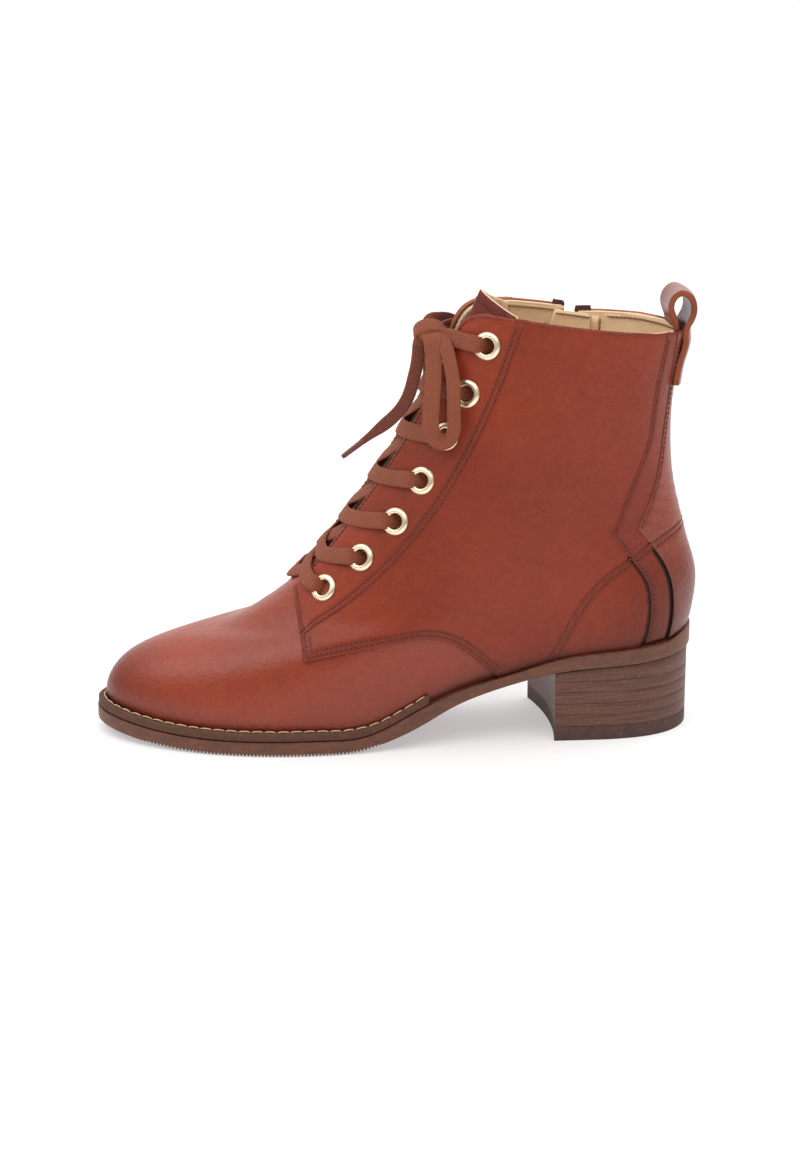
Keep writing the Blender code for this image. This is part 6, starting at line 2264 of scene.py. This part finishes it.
for i in range(EYELET_COUNT - 1):
    low = EYELETS["around"][i], EYELETS["level"][i]
    high = EYELETS["around"][i + 1], EYELETS["level"][i + 1]
    crossing = [
        strand((-low[0], low[1]), high, STRAND_STEP, [OUTER_CLIMB[key][i] for key in OUTER_CLIMB]),
        strand(low, (-high[0], high[1]), -STRAND_STEP, INNER_CLIMB),
    ]
    add_lace(f"lace_cross_{i + 1}", crossing, [f"lace_cross_{i + 1}"])

# Bow
# The two ends of the lace, tied in front of the collar: a knot, a loop on each side and two free ends
# with dark aglets. The routes start at the knot and are in millimetres.
KNOT_PLACE = np.array([-0.0862, -0.0005, 0.1745])
LOOP_OUTER = [
    (-82.8, -12.6, 166.0),
    (-83.1, -17.8, 157.0),
    (-84.1, -22.0, 149.5),
    (-84.9, -25.4, 142.4),
    (-84.8, -27.6, 137.0),
    (-82.4, -29.0, 133.4),
    (-78.5, -29.8, 133.1),
    (-76.1, -30.0, 136.3),
    (-75.6, -29.0, 142.6),
    (-75.5, -27.0, 150.5),
    (-75.6, -23.6, 157.7),
    (-76.6, -18.2, 165.0),
]
LOOP_INNER = [
    (-81.2, 13.5, 166.0),
    (-80.6, 21.0, 157.0),
    (-80.0, 26.5, 147.5),
    (-79.3, 30.4, 139.5),
    (-77.6, 32.8, 134.0),
    (-73.8, 34.4, 131.8),
    (-70.3, 35.2, 134.6),
    (-69.0, 34.8, 142.0),
    (-69.6, 32.0, 150.5),
    (-71.8, 26.8, 158.6),
    (-74.6, 20.0, 165.0),
]
END_OUTER = [
    (-87.9, -4.6, 167.6),
    (-88.6, -7.5, 162.8),
    (-90.7, -11.5, 155.3),
    (-93.3, -14.5, 148.4),
    (-97.1, -16.0, 142.9),
    (-103.0, -17.0, 137.7),
    (-108.9, -17.5, 133.3),
    (-112.7, -17.8, 130.5),
]
END_INNER = [
    (-79.0, 9.5, 176.5),
    (-72.5, 19.0, 174.0),
    (-64.5, 28.0, 166.0),
    (-58.5, 33.0, 154.0),
    (-56.5, 35.0, 141.0),
    (-55.8, 35.6, 130.0),
]
LOOP_LACE = 0.0075
END_WIDTH = 0.0055
END_TAPER = 0.72
END_NARROW = 0.5
AGLET_OVERLAP = 0.0012
AGLET_LENGTH = 0.0115
AGLET_RADIUS = 0.0013
AGLET_SIDES = 16
AGLET_TAPER = 0.2
AGLET_TIP = 0.8
BOW_STEPS = 90
SECOND_LEG = 0.8
END_FACE = (0.0, 1.0, 0.0)


def smooth_route(points, count):
    """Evenly spaced points on a spline through a route."""
    route = np.array(points, float) * MM
    run = run_of(route)
    places = np.linspace(0.0, run[-1], count)
    return np.column_stack([spline(run, route[:, k], places) for k in range(3)])


def plane_normal(path):
    """Direction at right angles to the plane that a route lies nearest to."""
    return np.linalg.svd(path - path.mean(axis=0))[2][2]


for word, route in (("outer", LOOP_OUTER), ("inner", LOOP_INNER)):
    path = smooth_route(route, BOW_STEPS)
    facing = plane_normal(path)
    narrowing = smooth_step(np.linspace(0.0, 1.0, BOW_STEPS) * 4 - 1.6)
    width = LOOP_LACE * (1 - (1 - SECOND_LEG) * narrowing)
    loop = add_lace(
        f"lace_loop_{word}",
        [lace_band(path, np.tile(facing, (BOW_STEPS, 1)), width)],
        [f"lace_loop_{word}"],
    )
shaded_weave = woven("shaded_weave", srgb(128, 63, 43), srgb(56, 25, 16), 2900.0, 1.0, 0.85, bump=1.0)
aglet_finish = plain_finish("aglet_finish", srgb(112, 58, 46), 0.23)
for word, route in (("outer", END_OUTER), ("inner", END_INNER)):
    path = smooth_route(route, BOW_STEPS // 2)
    part = np.linspace(0.0, 1.0, len(path))
    width = END_WIDTH * (1 - END_NARROW * smooth_step((part - END_TAPER) / (1 - END_TAPER)))
    end = add_lace(
        f"lace_end_{word}",
        [lace_band(path, np.tile(END_FACE, (len(path), 1)), width)],
        [f"lace_end_{word}"],
        shaded_weave,
    )
    heading = unit(path[-1] - path[-2])
    steps = np.linspace(0.0, 1.0, 14)
    centre = path[-1] + heading * (steps * AGLET_LENGTH - AGLET_OVERLAP)[:, None]
    rim = np.where((steps == 0) | (steps == 1), AGLET_TIP, 1.0)
    girth = AGLET_RADIUS * (1 - AGLET_TAPER * steps) * rim
    side = unit(np.cross(heading, END_FACE))
    up = np.cross(heading, side)
    spoke = spokes(side[None], up[None], AGLET_SIDES)
    aglet_rings = centre[:, None] + spoke * girth[:, None, None]
    aglet = add_piece(
        f"aglet_{word}", loft("aglet", aglet_rings, aglet_finish), [f"aglet_{word}"]
    )


def ring_band(centre, first, second, radii, width):
    """A closed turn of lace about a point, in the plane of two directions."""
    angle = np.linspace(0.0, 2 * math.pi, RING_STEPS)
    first, second = np.array(first, float), np.array(second, float)
    spoke = first * (np.cos(angle) * radii[0])[:, None] + second * (np.sin(angle) * radii[1])[:, None]
    return lace_band(centre + spoke, unit(spoke), width)


def rooted(start, guide, end, first_face, last_face, width):
    """A piece of lace from the inside of the knot, over a guide point, to where a route starts."""
    part = np.linspace(0.0, 1.0, ROOT_STEPS)[:, None]
    path = start * (1 - part) ** 2 + guide * 2 * part * (1 - part) + end * part**2
    faces = unit(np.array(first_face) * (1 - part) + np.array(last_face) * part)
    return lace_band(path, faces, width)


WRAP_PLACE = KNOT_PLACE + (0.0031, 0.0, -0.0023)
WRAP_RADII = (0.0060, 0.0048)
WRAP_WIDTH = 0.0072
CORE_RADII = (0.0059, 0.0058, 0.0046)
CORE_STEPS = 14
ROOT_STEPS = 18
ROOT_GUIDE = (0.0115, 0.0010)
ROOT_START = (0.3, 0.002, 0.0010)
GUIDE_SHARE = 0.8
END_GUIDE = 0.9
RING_STEPS = 60
WRAP_TILT = math.radians(32)
up_way = np.array([0.0, -math.sin(WRAP_TILT), math.cos(WRAP_TILT)])
knot_bands = [ring_band(WRAP_PLACE, (1.0, 0.0, 0.0), up_way, WRAP_RADII, WRAP_WIDTH)]
core_turn = np.linspace(0.1, math.pi - 0.1, CORE_STEPS)[:, None]
core_angle = np.arange(LACE_SIDES) * 2 * math.pi / LACE_SIDES
core = np.stack(
    [
        np.sqrt(np.sin(core_turn)) * np.cos(core_angle),
        np.cos(core_turn) + 0 * core_angle,
        np.sqrt(np.sin(core_turn)) * np.sin(core_angle),
    ],
    axis=-1,
)
core = WRAP_PLACE + core * CORE_RADII
core_faces = np.array(loft_faces(CORE_STEPS, LACE_SIDES))
core_values = core.reshape(-1, 3)
knot_bands.append((core_values, core_faces, core_values[:, 0], core_values[:, 2] - WRAP_PLACE[2]))
for route, side in ((LOOP_OUTER, -1), (LOOP_INNER, 1)):
    facing = plane_normal(smooth_route(route, BOW_STEPS))
    facing = facing * np.sign(facing[1] * side)
    for end_point, width in ((route[0], LOOP_LACE), (route[-1], LOOP_LACE * SECOND_LEG)):
        end = np.array(end_point) * MM
        forward = (end[0] - WRAP_PLACE[0]) * ROOT_START[0]
        start = WRAP_PLACE + (forward, side * ROOT_START[1], ROOT_START[2])
        guide_x = end[0] * GUIDE_SHARE + WRAP_PLACE[0] * (1 - GUIDE_SHARE)
        guide = np.array([guide_x, side * ROOT_GUIDE[0], WRAP_PLACE[2] + ROOT_GUIDE[1]])
        knot_bands.append(rooted(start, guide, end, (0.0, 0.0, 1.0), facing, width))
for route in (END_OUTER, END_INNER):
    end = np.array(route[0]) * MM
    guide = end + (end - np.array(route[1]) * MM) * END_GUIDE
    knot_bands.append(rooted(WRAP_PLACE, guide, end, END_FACE, END_FACE, END_WIDTH))
add_lace("lace_knot", knot_bands, ["lace_knot"])
TOP_STEPS = 40
TOP_REACH = 0.6
JOIN_STEPS = 15
top_strands = []
for side in SIDES.values():
    around = side * EYELETS["around"][-1] * (1 - np.linspace(0.0, TOP_REACH, TOP_STEPS))
    level = np.full(TOP_STEPS, EYELETS["level"][-1])
    run = run_of(last_surface(around, level)) / MM
    height = np.interp(run, STRAND_START["reach"], STRAND_START["height"]) * MM
    start = lifted(around, level, height)
    part = np.linspace(0.0, 1.0, JOIN_STEPS + 1)[1:, None]
    path = np.concatenate([start, start[-1] + (WRAP_PLACE - start[-1]) * part])
    out = last_normal(around, level)
    faces = np.concatenate([out, np.tile(out[-1], (JOIN_STEPS, 1))])
    width = np.interp(run, STRAND_START["reach"], STRAND_START["width"])
    width = np.concatenate([width, np.ones(JOIN_STEPS)])
    top_strands.append(lace_band(path, faces, width * LACE_WIDTH))
add_lace("lace_top", top_strands, ["lace_top_bar"])
